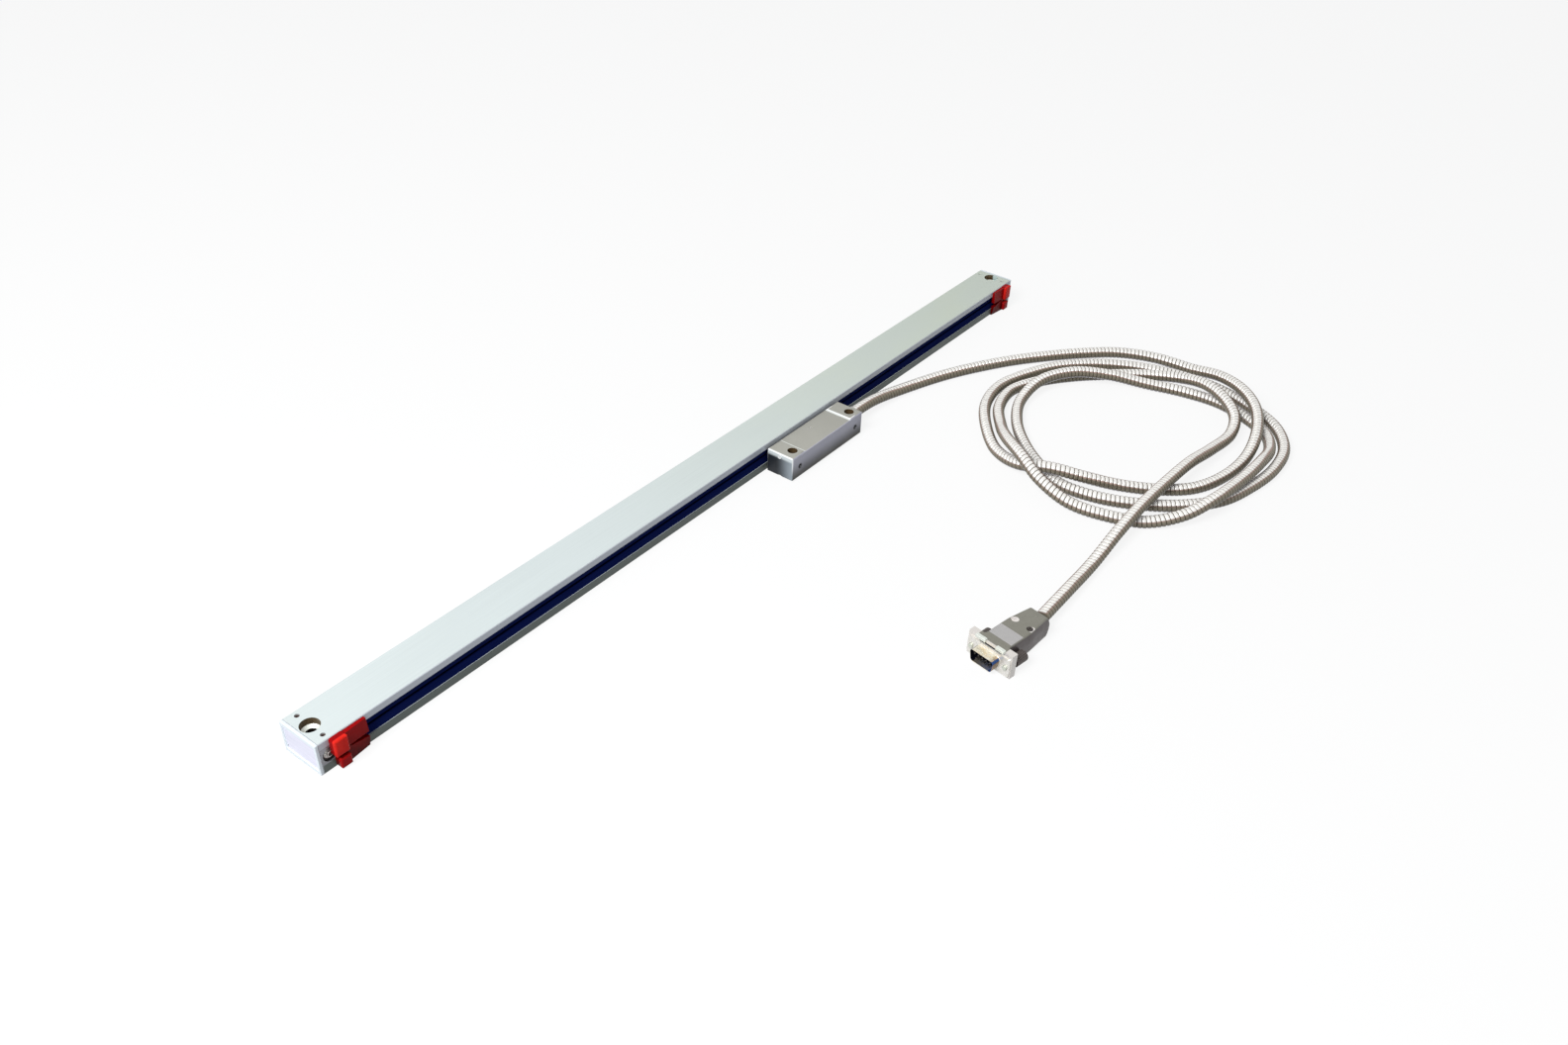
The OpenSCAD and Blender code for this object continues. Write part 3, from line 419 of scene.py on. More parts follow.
def anodised(settings):
    """Extruded aluminium: a satin anodised skin with drawn lines, rails in painted shade, painted
    shade in its channel and towards the far end, and bored holes.
    """
    made = Finish(
        "anodised_aluminium", {"Metallic": 0.12, "IOR": 1.5, "Specular IOR Level": 0.35}
    )
    across, deep, up = made.axes()
    low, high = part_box("housing")
    half_z = high.z / 2
    slot_low, slot_high = 5.6 * MM, high.z - 4.6 * MM
    drawn = made.noise(0.5 * MM, 2.0, (160, 1, 1))
    cloud = made.noise(38 * MM, 3.0, (2.6, 1, 1))
    speck = made.noise(0.9 * MM, 2.0)
    skin = made.grained(drawn, settings.aluminium, 0.97, 1.03)
    # Painted shade: the skin darkens towards the far end, away from the lamp.
    skin = made.mix(made.rise(across, low.x / 2, high.x), skin, ink(207, 216, 200))
    skin = made.mix(made.rise(cloud, 0.35, 0.7, 0.35), skin, shade(settings.aluminium, 0.93))
    skin = made.mix(made.rise(speck, 0.76, 0.84, 0.3), skin, shade(settings.aluminium, 0.7))
    front = made.fall(deep, low.y + 0.25 * MM, low.y + 0.4 * MM)
    above = front * made.rise(up, slot_high, slot_high + 0.1 * MM)
    below = front * made.fall(up, slot_low, slot_low + 0.3 * MM)
    # The front rails above and below the slot get their painted shade colours.
    skin = made.mix(above, skin, settings.shaded_upper_rail)
    skin = made.mix(below, skin, settings.shaded_lower_rail)
    # Painted shade: the channel inside the housing is painted near black.
    inside = made.fall(abs(deep), high.y - 2.2 * MM, high.y - 2 * MM)
    inside = inside * made.fall(abs(up - half_z), half_z - 1.8 * MM, half_z - 1.6 * MM)
    skin = made.mix(inside, skin, ink(9, 12, 30))
    return made.raised(
        drawn * 0.6 + speck * 0.4, 0.01 * MM, base_color=mounting_bores(made, skin),
        roughness=0.36 + made.vary(cloud, 0.0, 0.1) + made.vary(drawn, 0.0, 0.06),
    )


def milled(name, colour, metallic, rough):
    """Machined metal with fine tool marks and a few darker stains."""
    made = Finish(name, {"Metallic": metallic})
    marks = made.noise(0.35 * MM, 2.0, (6, 1, 1))
    cloud = made.noise(3.5 * MM)
    body = made.grained(marks, colour, 0.86, 1.12)
    body = made.mix(made.rise(cloud, 0.52, 0.75, 0.4), body, shade(colour, 0.55))
    return made.raised(
        marks, 0.01 * MM, base_color=body, roughness=rough + made.vary(cloud, -0.06, 0.1)
    )


def stained(made, mask, first, second, stain):
    """Steel that goes from one colour to another with the mask, with faint stains; its callers use
    it for a painted highlight and painted shade on one steel.
    """
    marks = made.noise(0.5 * MM)
    body = made.mix(mask, first, second)
    body = made.mix(made.rise(marks, 0.4, 0.7, 0.4), body, stain)
    return made.raised(marks, 0.01 * MM, base_color=body, roughness=made.vary(marks, 0.3, 0.43))


def blasted(colour):
    """Blasted cast metal with a fine even grain, in painted shade towards its foot."""
    made = Finish(
        "cast_parts", {"Metallic": 0.22, "Specular IOR Level": 0.5, "Coat Roughness": 0.22}
    )
    up = made.axes()[2]
    pits = made.noise(0.35 * MM)
    cloud = made.noise(9 * MM, 4.0)
    rubbed = made.noise(2.2 * MM, 5.0, (2.5, 1, 1))
    body = made.grained(pits, colour, 0.9, 1.06, high=0.72)
    body = made.mix(made.rise(cloud, 0.4, 0.75, 0.35), body, shade(colour, 0.84))
    body = made.mix(made.rise(rubbed, 0.68, 0.82, 0.4), body, shade(colour, 1.25))
    # Painted shade towards the foot.
    body = made.mix(made.fall(up, 2 * MM, 15 * MM), body, shade(colour, 0.6))
    return made.raised(
        pits, 0.02 * MM, base_color=body, roughness=0.34 + made.vary(cloud, -0.04, 0.1),
        coat_weight=made.vary(cloud, 0.35, 0.15),
    )


def hood_metal(settings):
    """Plated die casting: a bright front plate, a ribbed grip band on top, sides in painted shade,
    and a painted highlight and painted shade at the screws.
    """
    made = Finish("hood_metal", {"Metallic": 0.3, "Specular IOR Level": 0.5})
    back, left, up = made.plug_axis(0), made.plug_axis(1), made.axes()[2]
    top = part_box("plug_hood_screws")[1].z
    rib_pitch = 0.9 * MM
    pits = made.noise(0.3 * MM)
    cloud = made.noise(5 * MM, 4.0)
    body = made.grained(pits, settings.hood, 0.9, 1.08, high=0.72)
    body = made.mix(made.rise(cloud, 0.42, 0.75, 0.3), body, shade(settings.hood, 0.84))
    # Painted shade on the sides, below the top.
    body = made.mix(made.fall(up, top - 1.6 * MM, top - 0.5 * MM), body, settings.side)
    band = made.fall(abs(back - 14 * MM), 5.3 * MM, 5.5 * MM)
    band = band * made.rise(up, top - 0.4 * MM, top - 0.2 * MM)
    ribs = (back * (2 * math.pi / rib_pitch)).sine()
    grip = made.mix(ribs * 0.5 + 0.5, ink(150, 148, 146), ink(206, 204, 204))
    body = made.mix(band, body, grip)
    level = made.rise(up, top - 0.6 * MM, top - 0.4 * MM)
    # Round each screw a painted highlight on one side of its rim, and round the right one a pit in
    # painted shade.
    for side, pit_shading in ((-HOOD_SCREWS_ASIDE, 1.0), (HOOD_SCREWS_ASIDE, 0.0)):
        middle = away(back - HOOD_SCREWS_BACK, left - side)
        screw_highlight = away(back - HOOD_SCREWS_BACK - 0.4 * MM, left - side + 1.2 * MM)
        screw_highlight = level * made.fall(screw_highlight, 2.0 * MM, 2.5 * MM, 0.95)
        body = made.mix(screw_highlight, body, ink(236, 230, 226))
        pit_shade = level * made.fall(middle, 1.9 * MM, 2.1 * MM, pit_shading)
        body = made.mix(pit_shade, body, ink(28, 24, 22))
    ears = made.rise(abs(left), 10.2 * MM, 10.6 * MM) * made.fall(back, 5.4 * MM, 5.6 * MM)
    plate = made.fall(back, 1.5 * MM, 1.9 * MM).most(ears)
    bright = made.mix(cloud, shade(settings.plate, 0.94), settings.plate)
    return made.raised(
        pits * 0.2 + ribs * band * 0.8, 0.06 * MM, base_color=made.mix(plate, body, bright),
        roughness=0.36 + made.vary(cloud, -0.05, 0.08) - plate * 0.08,
    )


def shell_metal(colour):
    """Bright plated steel with painted brown shade towards one side, and painted shade inside the
    shell.
    """
    made = Finish("shell_metal", {"Metallic": 0.4})
    back, left, up = made.plug_axis(0), made.plug_axis(1), made.axes()[2]
    low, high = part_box("plug_insulator")
    over = up - (low.z + high.z) / 2
    cloud = made.noise(2.4 * MM)
    flange = made.mix(made.rise(cloud, 0.35, 0.7), ink(226, 224, 216), ink(236, 232, 228))
    body = made.grained(cloud, colour, 0.95, 1.04, low=0.35)
    body = made.mix(made.rise(back, -0.4 * MM, -0.3 * MM), body, flange)
    ahead = made.fall(back, -0.6 * MM, -0.2 * MM)
    body = made.mix(made.rise(cloud, 0.45, 0.6) * ahead * 0.5, body, ink(216, 190, 140))
    # Painted shade: the shell's right side goes dark brown.
    right_side_shade = made.fall(left, -8.5 * MM, -4 * MM) * ahead
    body = made.mix(right_side_shade * 0.9, body, ink(124, 88, 46))
    # Painted shade inside the shell, with a blue painted reflection towards its right.
    inner = made.fall(abs(over), 3.75 * MM, 3.85 * MM)
    inner = inner * made.fall(abs(left) - over * 0.17, 7.95 * MM, 8.05 * MM) * ahead
    blue = made.mix(made.rise(left, -7 * MM, 6 * MM), ink(30, 70, 130), ink(14, 18, 30))
    return made.raised(
        cloud, 0.01 * MM, base_color=made.mix(inner, body, blue),
        roughness=made.vary(cloud, 0.24, 0.36),
    )


def moulded(colour):
    """Moulded plastic of the plug's insulator, with flow marks and a fine grain."""
    made = Finish(
        "insulator_plastic", {"Metallic": 0.0, "IOR": 1.49, "Specular IOR Level": 0.15}
    )
    flow = made.noise(4 * MM, 3.0, (1, 1, 2.2))
    grain = made.noise(0.25 * MM, 2.0)
    return made.raised(
        grain, 0.01 * MM, base_color=made.grained(flow, colour, 0.84, 1.1, low=0.35),
        roughness=0.3 + made.vary(grain, -0.05, 0.08),
    )


def rubber(name, colour, rough=0.6, bloom=0.08, glint=0.12):
    """Extruded rubber with fine streaks along it and a little dust."""
    made = Finish(name, {"Metallic": 0.0, "IOR": 1.5, "Specular IOR Level": glint})
    streak = made.noise(0.3 * MM, 2.0, (90, 1, 1))
    dust = made.noise(7 * MM, 4.0, (4, 1, 1))
    body = made.grained(streak, colour, 0.75, 1.2)
    body = made.mix(made.rise(dust, 0.55, 0.8, bloom), body, ink(90, 100, 130))
    return made.raised(
        streak, 0.02 * MM, base_color=body, roughness=rough + made.vary(dust, -0.08, 0.1)
    )


def scale_glass():
    """Float glass with a fine chrome track of lines along it."""
    made = Finish("scale_glass", {"Transmission Weight": 0.85, "IOR": 1.52, "Metallic": 0.0})
    deep = made.axes()[1]
    lines = made.node(
        "ShaderNodeTexWave",
        {"wave_type": "BANDS", "bands_direction": "X", "wave_profile": "SIN"},
        {"Vector": made.place, "Scale": 160.0, "Distortion": 0.0},
    )
    track = made.fall(abs(deep - 3.3 * MM), 2.0 * MM, 2.2 * MM)
    haze = made.noise(6 * MM)
    body = made.mix(track * made.rise(lines, 0.45, 0.55), ink(196, 226, 214), ink(70, 78, 76))
    return made.paint(base_color=body, roughness=made.step(haze, 0.3, 0.8, 0.03, 0.12))


def circuit_board():
    """Green solder mask over copper tracks and bare glass fibre."""
    made = Finish("circuit_board", {"Metallic": 0.0, "IOR": 1.5})
    tracks = made.node("ShaderNodeTexBrick", {"offset": 0.5}, {
        "Vector": made.place, "Scale": 260.0, "Color1": ink(18, 92, 46),
        "Color2": ink(24, 108, 58), "Mortar": ink(70, 140, 66), "Mortar Size": 0.02,
        "Brick Width": 1.1, "Row Height": 0.42,
    })
    weave = made.noise(0.4 * MM, 2.0)
    return made.raised(
        weave, 0.01 * MM, roughness=made.vary(weave, 0.25, 0.42),
        base_color=made.mix(made.rise(weave, 0.4, 0.7, 0.3), tracks, ink(14, 70, 38)),
    )


def wound_steel(settings):
    """Wound strip in painted light: a painted highlight on its upper left, painted brown shade on
    its flanks, a painted floor reflection under it and painted shade in its grooves.
    """
    made = Finish("wound_steel", {"Metallic": 0.3, "Specular IOR Level": 0.4})
    ridge, turn, lean, drop = (
        made.node("ShaderNodeAttribute", {"attribute_name": name}, output="Fac")
        for name in HOSE_VALUES
    )
    smear = made.noise(9 * MM)
    # Painted light by lean: painted shade on the far side, then the flank colour.
    body = made.mix(made.rise(lean, -0.4, 0.5), settings.shade, settings.flank_shade)
    # A reddish painted fringe, then the painted highlight on the lit side.
    body = made.mix(made.rise(lean, 0.54, 0.68), body, ink(166, 140, 130))
    body = made.mix(made.rise(lean + smear * 0.08, 0.72, 0.82), body, settings.steel)
    # Painted reflection of the floor on the underside.
    body = made.mix(made.rise(drop, 0.35, 0.7), body, settings.under)
    body = made.mix(turn * 0.12, body, settings.flank_shade)
    # Painted shade in the grooves, a little lighter on the lit side.
    groove = made.mix(made.rise(lean, 0.72, 0.85), settings.stain, shade(settings.stain, 1.5))
    body = made.mix(made.fall(ridge, 0.25, 0.9, 0.95), body, groove)
    return made.raised(
        smear, 0.01 * MM, base_color=body,
        roughness=made.vary(smear, 0.26, 0.34) + made.fall(ridge, 0.1, 0.7, 0.25),
    )


# ------------------------------------------------------------------ modelling


def holes(name):
    """The places of a mount's two holes."""
    mount = next(m for m in frame["record"]["mounts"] if m["name"] == name)
    x, y, z = mount["pos_m"]
    half = mount["dims"]["spacing_x_mm"] * MM / 2
    return [(x - half, y, z), (x + half, y, z)]


def only(obj):
    """Selects one object, and makes it the active one."""
    bpy.ops.object.select_all(action="DESELECT")
    obj.select_set(True)
    bpy.context.view_layer.objects.active = obj


class Editing:
    """Edit mode on one object, with nothing in it selected."""

    def __init__(self, obj, parts="FACE"):
        self.obj = obj
        self.parts = parts

    def __enter__(self):
        only(self.obj)
        bpy.ops.object.mode_set(mode="EDIT")
        bpy.ops.mesh.select_mode(type=self.parts)
        bpy.ops.mesh.select_all(action="DESELECT")
        return self

    def __exit__(self, *problem):
        bpy.ops.object.mode_set(mode="OBJECT")

    def pick(self, test):
        """Selects the faces or points that pass the test, and nothing else."""
        bpy.ops.mesh.select_all(action="DESELECT")
        mesh = bmesh.from_edit_mesh(self.obj.data)
        parts = mesh.faces if self.parts == "FACE" else mesh.verts
        picked = [part for part in parts if test(part)]
        if not picked:
            raise RuntimeError(f"nothing on {self.obj.name} passed the test")
        for part in picked:
            part.select_set(True)
        mesh.select_flush_mode()
        bmesh.update_edit_mesh(self.obj.data)

    @staticmethod
    def cut(place, normal, **sides):
        """Cuts the whole mesh along a plane."""
        bpy.ops.mesh.select_all(action="SELECT")
        bpy.ops.mesh.bisect(plane_co=place, plane_no=normal, **sides)

    @staticmethod
    def pull(inset, move):
        """Insets the selected faces, and extrudes what is left inside."""
        bpy.ops.mesh.inset(thickness=inset)
        bpy.ops.mesh.extrude_region_move(TRANSFORM_OT_translate={"value": move})

    @staticmethod
    def stretch(factor, centre):
        """Widens or narrows the selected points along Y."""
        bpy.ops.transform.resize(
            value=(1, factor, 1), center_override=centre, orient_type="GLOBAL"
        )


def paint_all(obj, material):
    """Gives the whole object one material."""
    obj.data.materials.clear()
    obj.data.materials.append(material)


def paint_nodes(material, *names):
    """Gives CAD nodes that stay as they are a material."""
    for name in names:
        paint_all(NODES[name], material)


def apply_place(obj):
    """Puts an object's place, turn and size into its mesh."""
    only(obj)
    bpy.ops.object.transform_apply(location=True, rotation=True, scale=True)


def block(name, low, high):
    """A block between two corners, ready to be shaped."""
    bpy.ops.object.select_all(action="DESELECT")
    low, high = Vector(low), Vector(high)
    bpy.ops.mesh.primitive_cube_add(size=1, location=(low + high) / 2)
    obj = bpy.context.object
    obj.name = obj.data.name = name
    obj.scale = high - low
    apply_place(obj)
    return obj


def rod(name, start, end, radius, sides):
    """A cylinder between two points, ready to be shaped."""
    bpy.ops.object.select_all(action="DESELECT")
    start, end = Vector(start), Vector(end)
    bpy.ops.mesh.primitive_cylinder_add(
        vertices=sides, radius=radius, depth=(end - start).length, location=(start + end) / 2,
    )
    obj = bpy.context.object
    obj.name = obj.data.name = name
    obj.rotation_euler = (end - start).to_track_quat("Z", "Y").to_euler()
    apply_place(obj)
    return obj


def finish_modifier(obj, kind, **settings):
    """Adds a modifier, sets it and applies it."""
    only(obj)
    added = obj.modifiers.new(kind.title(), kind)
    for name, value in settings.items():
        setattr(added, name, value)
    bpy.ops.object.modifier_apply(modifier=added.name)


def rounded(obj, width, segments=2, angle=50):
    """Rounds the edges that are sharper than an angle in degrees."""
    finish_modifier(
        obj, "BEVEL", width=width, segments=segments, limit_method="ANGLE",
        angle_limit=math.radians(angle),
    )


def smooth(obj, angle=35):
    """Smooth shading across all but the sharp edges, in which large faces stay flat."""
    only(obj)
    bpy.ops.object.shade_smooth_by_angle(angle=math.radians(angle))
    finish_modifier(obj, "WEIGHTED_NORMAL", keep_sharp=True)


def copied(obj, name):
    """A copy of an object, with its own mesh."""
    made = bpy.data.objects.new(name, obj.data.copy())
    bpy.context.scene.collection.objects.link(made)
    return made


def dressed(node, edge):
    """A merged copy of a CAD node, with its sharp edges rounded, which stands for that node."""
    obj = copied(NODES[node], node + "_dressed")
    with Editing(obj):
        bpy.ops.mesh.select_all(action="SELECT")
        bpy.ops.mesh.remove_doubles(threshold=1e-6)
        bpy.ops.mesh.dissolve_limited(angle_limit=math.radians(1.0), delimit=set())
    rounded(obj, edge, 3, 40)
    smooth(obj)
    return obj


def seat(obj, node):
    """obj takes a CAD node's place: it rides on that node's body."""
    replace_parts(obj, node)
    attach(obj, body_of(NODES[node])[0])


def plug_frame():
    """The plug's own frame: +X runs back along the hood, from its front's middle on the floor."""
    screws = [j for j in frame["joints"] if j["name"].startswith("jackscrew")]
    middle = sum((Vector(j["pos_m"]) for j in screws), Vector()) / len(screws)
    back = Vector(screws[0]["axis"]).normalized()
    left = Vector((0, 0, 1)).cross(back)
    turned = Matrix((back, left, (0, 0, 1))).transposed().to_4x4()
    turned.translation = middle - back * 2 * MM - Vector((0, 0, middle.z))
    return turned


def put(obj, place):
    """Moves a piece by a matrix, which goes into its mesh."""
    obj.matrix_world = place
    apply_place(obj)
    return obj


def merged(objects, name):
    """Joins several objects into one piece."""
    bpy.ops.object.select_all(action="DESELECT")
    for obj in objects:
        obj.select_set(True)
    bpy.context.view_layer.objects.active = objects[0]
    bpy.ops.object.join()
    objects[0].name = objects[0].data.name = name
    return objects[0]


def screws(node, places, material, head_r, head_h, shank_r, shank_len, socket_r):
    """Like screws with sunk sockets, one at each place, as one piece for a CAD node."""
    screw = rod("screw", (0, 0, -head_h), (0, 0, 0), head_r, 24)
    with Editing(screw) as edit:
        edit.pick(lambda f: f.normal.z > 0.9)
        edit.pull(head_r - socket_r, (0, 0, -head_h * 0.55))
        edit.pick(lambda f: f.normal.z < -0.9 and f.calc_center_median().z < -head_h * 0.9)
        edit.pull(head_r - shank_r, (0, 0, -shank_len))
    rounded(screw, 0.12 * MM)
    smooth(screw)
    copies = [put(copied(screw, "screw"), place) for place in places]
    bpy.data.objects.remove(screw)
    piece = merged(copies, node + "_dressed")
    paint_all(piece, material)
    seat(piece, node)


# ------------------------------------------------------------------ stage


class SCALE_OT_stage(bpy.types.Operator):
    """Sets up the camera, the key lamp, the pale surroundings and the floor"""

    bl_idname = "glass_scale.stage"
    bl_label = "Stage"
    bl_options = {"REGISTER", "UNDO"}

    def execute(self, context):
        settings = context.scene.scale_stage
        context.scene.view_settings.view_transform = "Standard"
        self.camera(context, settings.lens)
        self.lamp(context, (-1.2, -0.1, 1.25), (0.0, -0.05, 0.0), 0.7, settings.key_power)
        self.surroundings(context, settings.ambient)
        bpy.ops.object.select_all(action="DESELECT")
        bpy.ops.mesh.primitive_plane_add(size=14, location=(0, 0, 0))
        floor = context.object
        floor.name = floor.data.name = "floor"
        paint_all(floor, self.floor_finish(settings.bounce))
        return {"FINISHED"}

    @staticmethod
    def camera(context, lens):
        """A camera above the near end, on the reading head's side."""
        eye = bpy.data.cameras.new("camera")
        eye.lens = lens
        eye.sensor_width = 36
        eye.clip_start = 0.01
        camera = bpy.data.objects.new("camera", eye)
        camera.location = (-0.5877, -0.4779, 0.5124)
        camera.rotation_euler = [math.radians(turn) for turn in (53.82, -1.64, -52.38)]
        context.scene.collection.objects.link(camera)
        context.scene.camera = camera

    @staticmethod
    def lamp(context, place, target, width, power):
        """A square lamp that faces its target."""
        light = bpy.data.lights.new("key", "AREA")
        light.size = width
        light.energy = power
        lamp = bpy.data.objects.new("key", light)
        lamp.location = place
        lamp.rotation_euler = (Vector(target) - Vector(place)).to_track_quat("-Z", "Y").to_euler()
        context.scene.collection.objects.link(lamp)

    @staticmethod
    def surroundings(context, strength):
        """Even light from all round, which the camera and shiny surfaces see as white."""
        world = bpy.data.worlds.new("surroundings")
        world.use_nodes = True
        context.scene.world = world
        nodes = world.node_tree.nodes
        made = Tree(world.node_tree)
        white = nodes["Background"]
        made.feed(white.inputs["Color"], WHITE)
        light = made.node(
            "ShaderNodeBackground", None, {"Color": (0.95, 0.98, 1.0), "Strength": strength}
        )
        both = made.node(
            "ShaderNodeMixShader", None,
            {0: made.seen(), 1: light, 2: Value(made, white.outputs["Background"])},
        )
        made.feed(nodes["World Output"].inputs["Surface"], both)

    @staticmethod
    def floor_finish(bounce):
        """A pale floor that looks white, keeps a soft shadow and casts little light back."""
        made = Finish("floor", {"Roughness": 0.9, "Specular IOR Level": 0.0})
        seen = made.seen()
        made.paint(base_color=made.mix(seen, bounce, WHITE))
        glow = made.node("ShaderNodeEmission", None, {"Color": WHITE, "Strength": 1.0})
        base = Value(made, made.shader.outputs["BSDF"])
        both = made.node("ShaderNodeMixShader", None, {0: seen * 0.86, 1: base, 2: glow})
        made.feed(made.nodes["Material Output"].inputs["Surface"], both)
        return made.material


# ------------------------------------------------------------------ hose

# Rows across one turn of the wound strip: each one's share of the pitch, and how deep it lies
TURN = ((0.0, 1.0), (0.13, 0.16), (0.34, 0.0), (0.66, 0.0), (0.87, 0.16))
# Points of the path for one turn of the strip
TURN_POINTS = 8
# What the armour's finish reads at each of its points
HOSE_VALUES = ("ridge", "turn", "lean", "drop")
# The way that the armour's painted highlight faces
PAINTED_LIGHT_SIDE = Vector((-0.45, 0.1, 0.885))


def curve_through(points, pieces=24):
    """A smooth curve through the given points, with so many pieces between two of them."""
    ends = [2 * points[0] - points[1], *points, 2 * points[-1] - points[-2]]
    fine = []
    for i in range(1, len(ends) - 2):
        a, b, c, d = ends[i - 1:i + 3]
        knots = [0.0]
        for start, end in ((a, b), (b, c), (c, d)):
            knots.append(knots[-1] + (end - start).length ** 0.5)
        for k in range(pieces):
            place = knots[1] + (knots[2] - knots[1]) * k / pieces

            def share(first, last):
                return (place - knots[first]) / (knots[last] - knots[first])

            ab, bc, cd = a.lerp(b, share(0, 1)), b.lerp(c, share(1, 2)), c.lerp(d, share(2, 3))
            abc, bcd = ab.lerp(bc, share(0, 2)), bc.lerp(cd, share(1, 3))
            fine.append(abc.lerp(bcd, share(1, 2)))
    return [*fine, points[-1]]


def spaced(points, spacing, lowest):
    """Points a fixed distance apart along a line of points, none below the lowest height."""
    for point in points:
        point.z = max(point.z, lowest)
    found, travelled, target = [points[0]], 0.0, spacing
    for start, end in zip(points, points[1:]):
        step = (end - start).length
        while step > 0 and travelled + step >= target:
            found.append(start.lerp(end, (target - travelled) / step))
            target += spacing
        travelled += step
    return found


def across_path(path):
    """For each point of the path: the point and two directions square to the path there."""
    found = []
    side = Vector((0, 1, 0))
    for i, point in enumerate(path):
        ahead = (path[min(i + 1, len(path) - 1)] - path[max(i - 1, 0)]).normalized()
        side = (side - ahead * side.dot(ahead)).normalized()
        found.append((point, side, ahead.cross(side)))
    return found


class SCALE_OT_hose(bpy.types.Operator):
    """Winds the cable's steel armour along its route"""

    bl_idname = "glass_scale.hose"
    bl_label = "Armoured cable"
    bl_options = {"REGISTER", "UNDO"}

    def execute(self, context):
        settings = context.scene.scale_hose
        radius = settings.diameter / 2
        # It starts just behind the ferrule, and lies just clear of the floor
        route = [Vector([c * MM for c in point]) for point in ROUTE]
        start = Vector((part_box("cable_ferrule")[1].x + 0.05 * MM, *route[0].yz))
        curve = curve_through([start, *route])
        path = spaced(curve, settings.pitch / TURN_POINTS, radius + 0.01 * MM)
        points, values = self.winding(settings, path)
        faces = self.skin(points, values, settings.sides)

        mesh = bpy.data.meshes.new("hose_armour")
        mesh.from_pydata(points, [], faces)
        for name, column in zip(HOSE_VALUES, zip(*values)):
            mesh.attributes.new(name, "FLOAT", "POINT").data.foreach_set("value", column)
        obj = bpy.data.objects.new("hose_armour", mesh)
        context.scene.collection.objects.link(obj)
        with Editing(obj):
            bpy.ops.mesh.select_all(action="SELECT")
            bpy.ops.mesh.normals_make_consistent(inside=False)
        smooth(obj, 60)
        paint_all(obj, wound_steel(settings))
        seat(obj, "hose")
        return {"FINISHED"}

    @staticmethod
    def winding(settings, path):
        """The strip's points, row after row along a helix, and each point's values."""
        frames = across_path(path)
        points, values = [], []
        for turn in range((len(path) - 1) // TURN_POINTS - 1):
            film = 0.5 + 0.5 * math.sin(turn * 2.4) * math.cos(turn * 0.37)
            for where, depth in TURN:
                for k in range(settings.sides):
                    distance = (turn + where + k / settings.sides) * TURN_POINTS
                    whole = min(int(distance), len(path) - 2)
                    place, out, up = (
                        a.lerp(b, distance - whole)
                        for a, b in zip(frames[whole], frames[whole + 1])
                    )
                    angle = 2 * math.pi * k / settings.sides
                    outward = math.cos(angle) * out + math.sin(angle) * up
                    reach = settings.diameter / 2 - settings.groove * depth
                    points.append(place + reach * outward)
                    # lean is how far a point faces the painted light side; drop, how far it faces
                    # down, for the painted floor reflection.
                    values.append((1 - depth, film, outward.dot(PAINTED_LIGHT_SIDE), -outward.z))
        return points, values

    @staticmethod
    def skin(points, values, sides):
        """Faces between the winding's rows; each end is closed round a new point in its middle."""
        rows = len(TURN)

        def spot(row, k):
            row += rows * (k // sides)
            return row * sides + k % sides

        last = len(points) // sides - rows - 1
        faces = [
            (spot(row, k), spot(row, k + 1), spot(row + 1, k + 1), spot(row + 1, k))
            for row in range(last) for k in range(sides)
        ]
        for end in (0, last):
            rim = [spot(end, k) for k in range(sides + 1)]
            rim += [spot(end + step, 0) for step in range(rows - 1, 0, -1)]
            hub = len(points)
            points.append(sum((points[i] for i in rim), Vector()) / len(rim))
            values.append((0.5, 0.5, 0.0, 0.0))
            for a, b in zip(rim, rim[1:] + rim[:1]):
                faces.append((a, b, hub) if end else (b, a, hub))
        return faces


# ------------------------------------------------------------------ scale unit


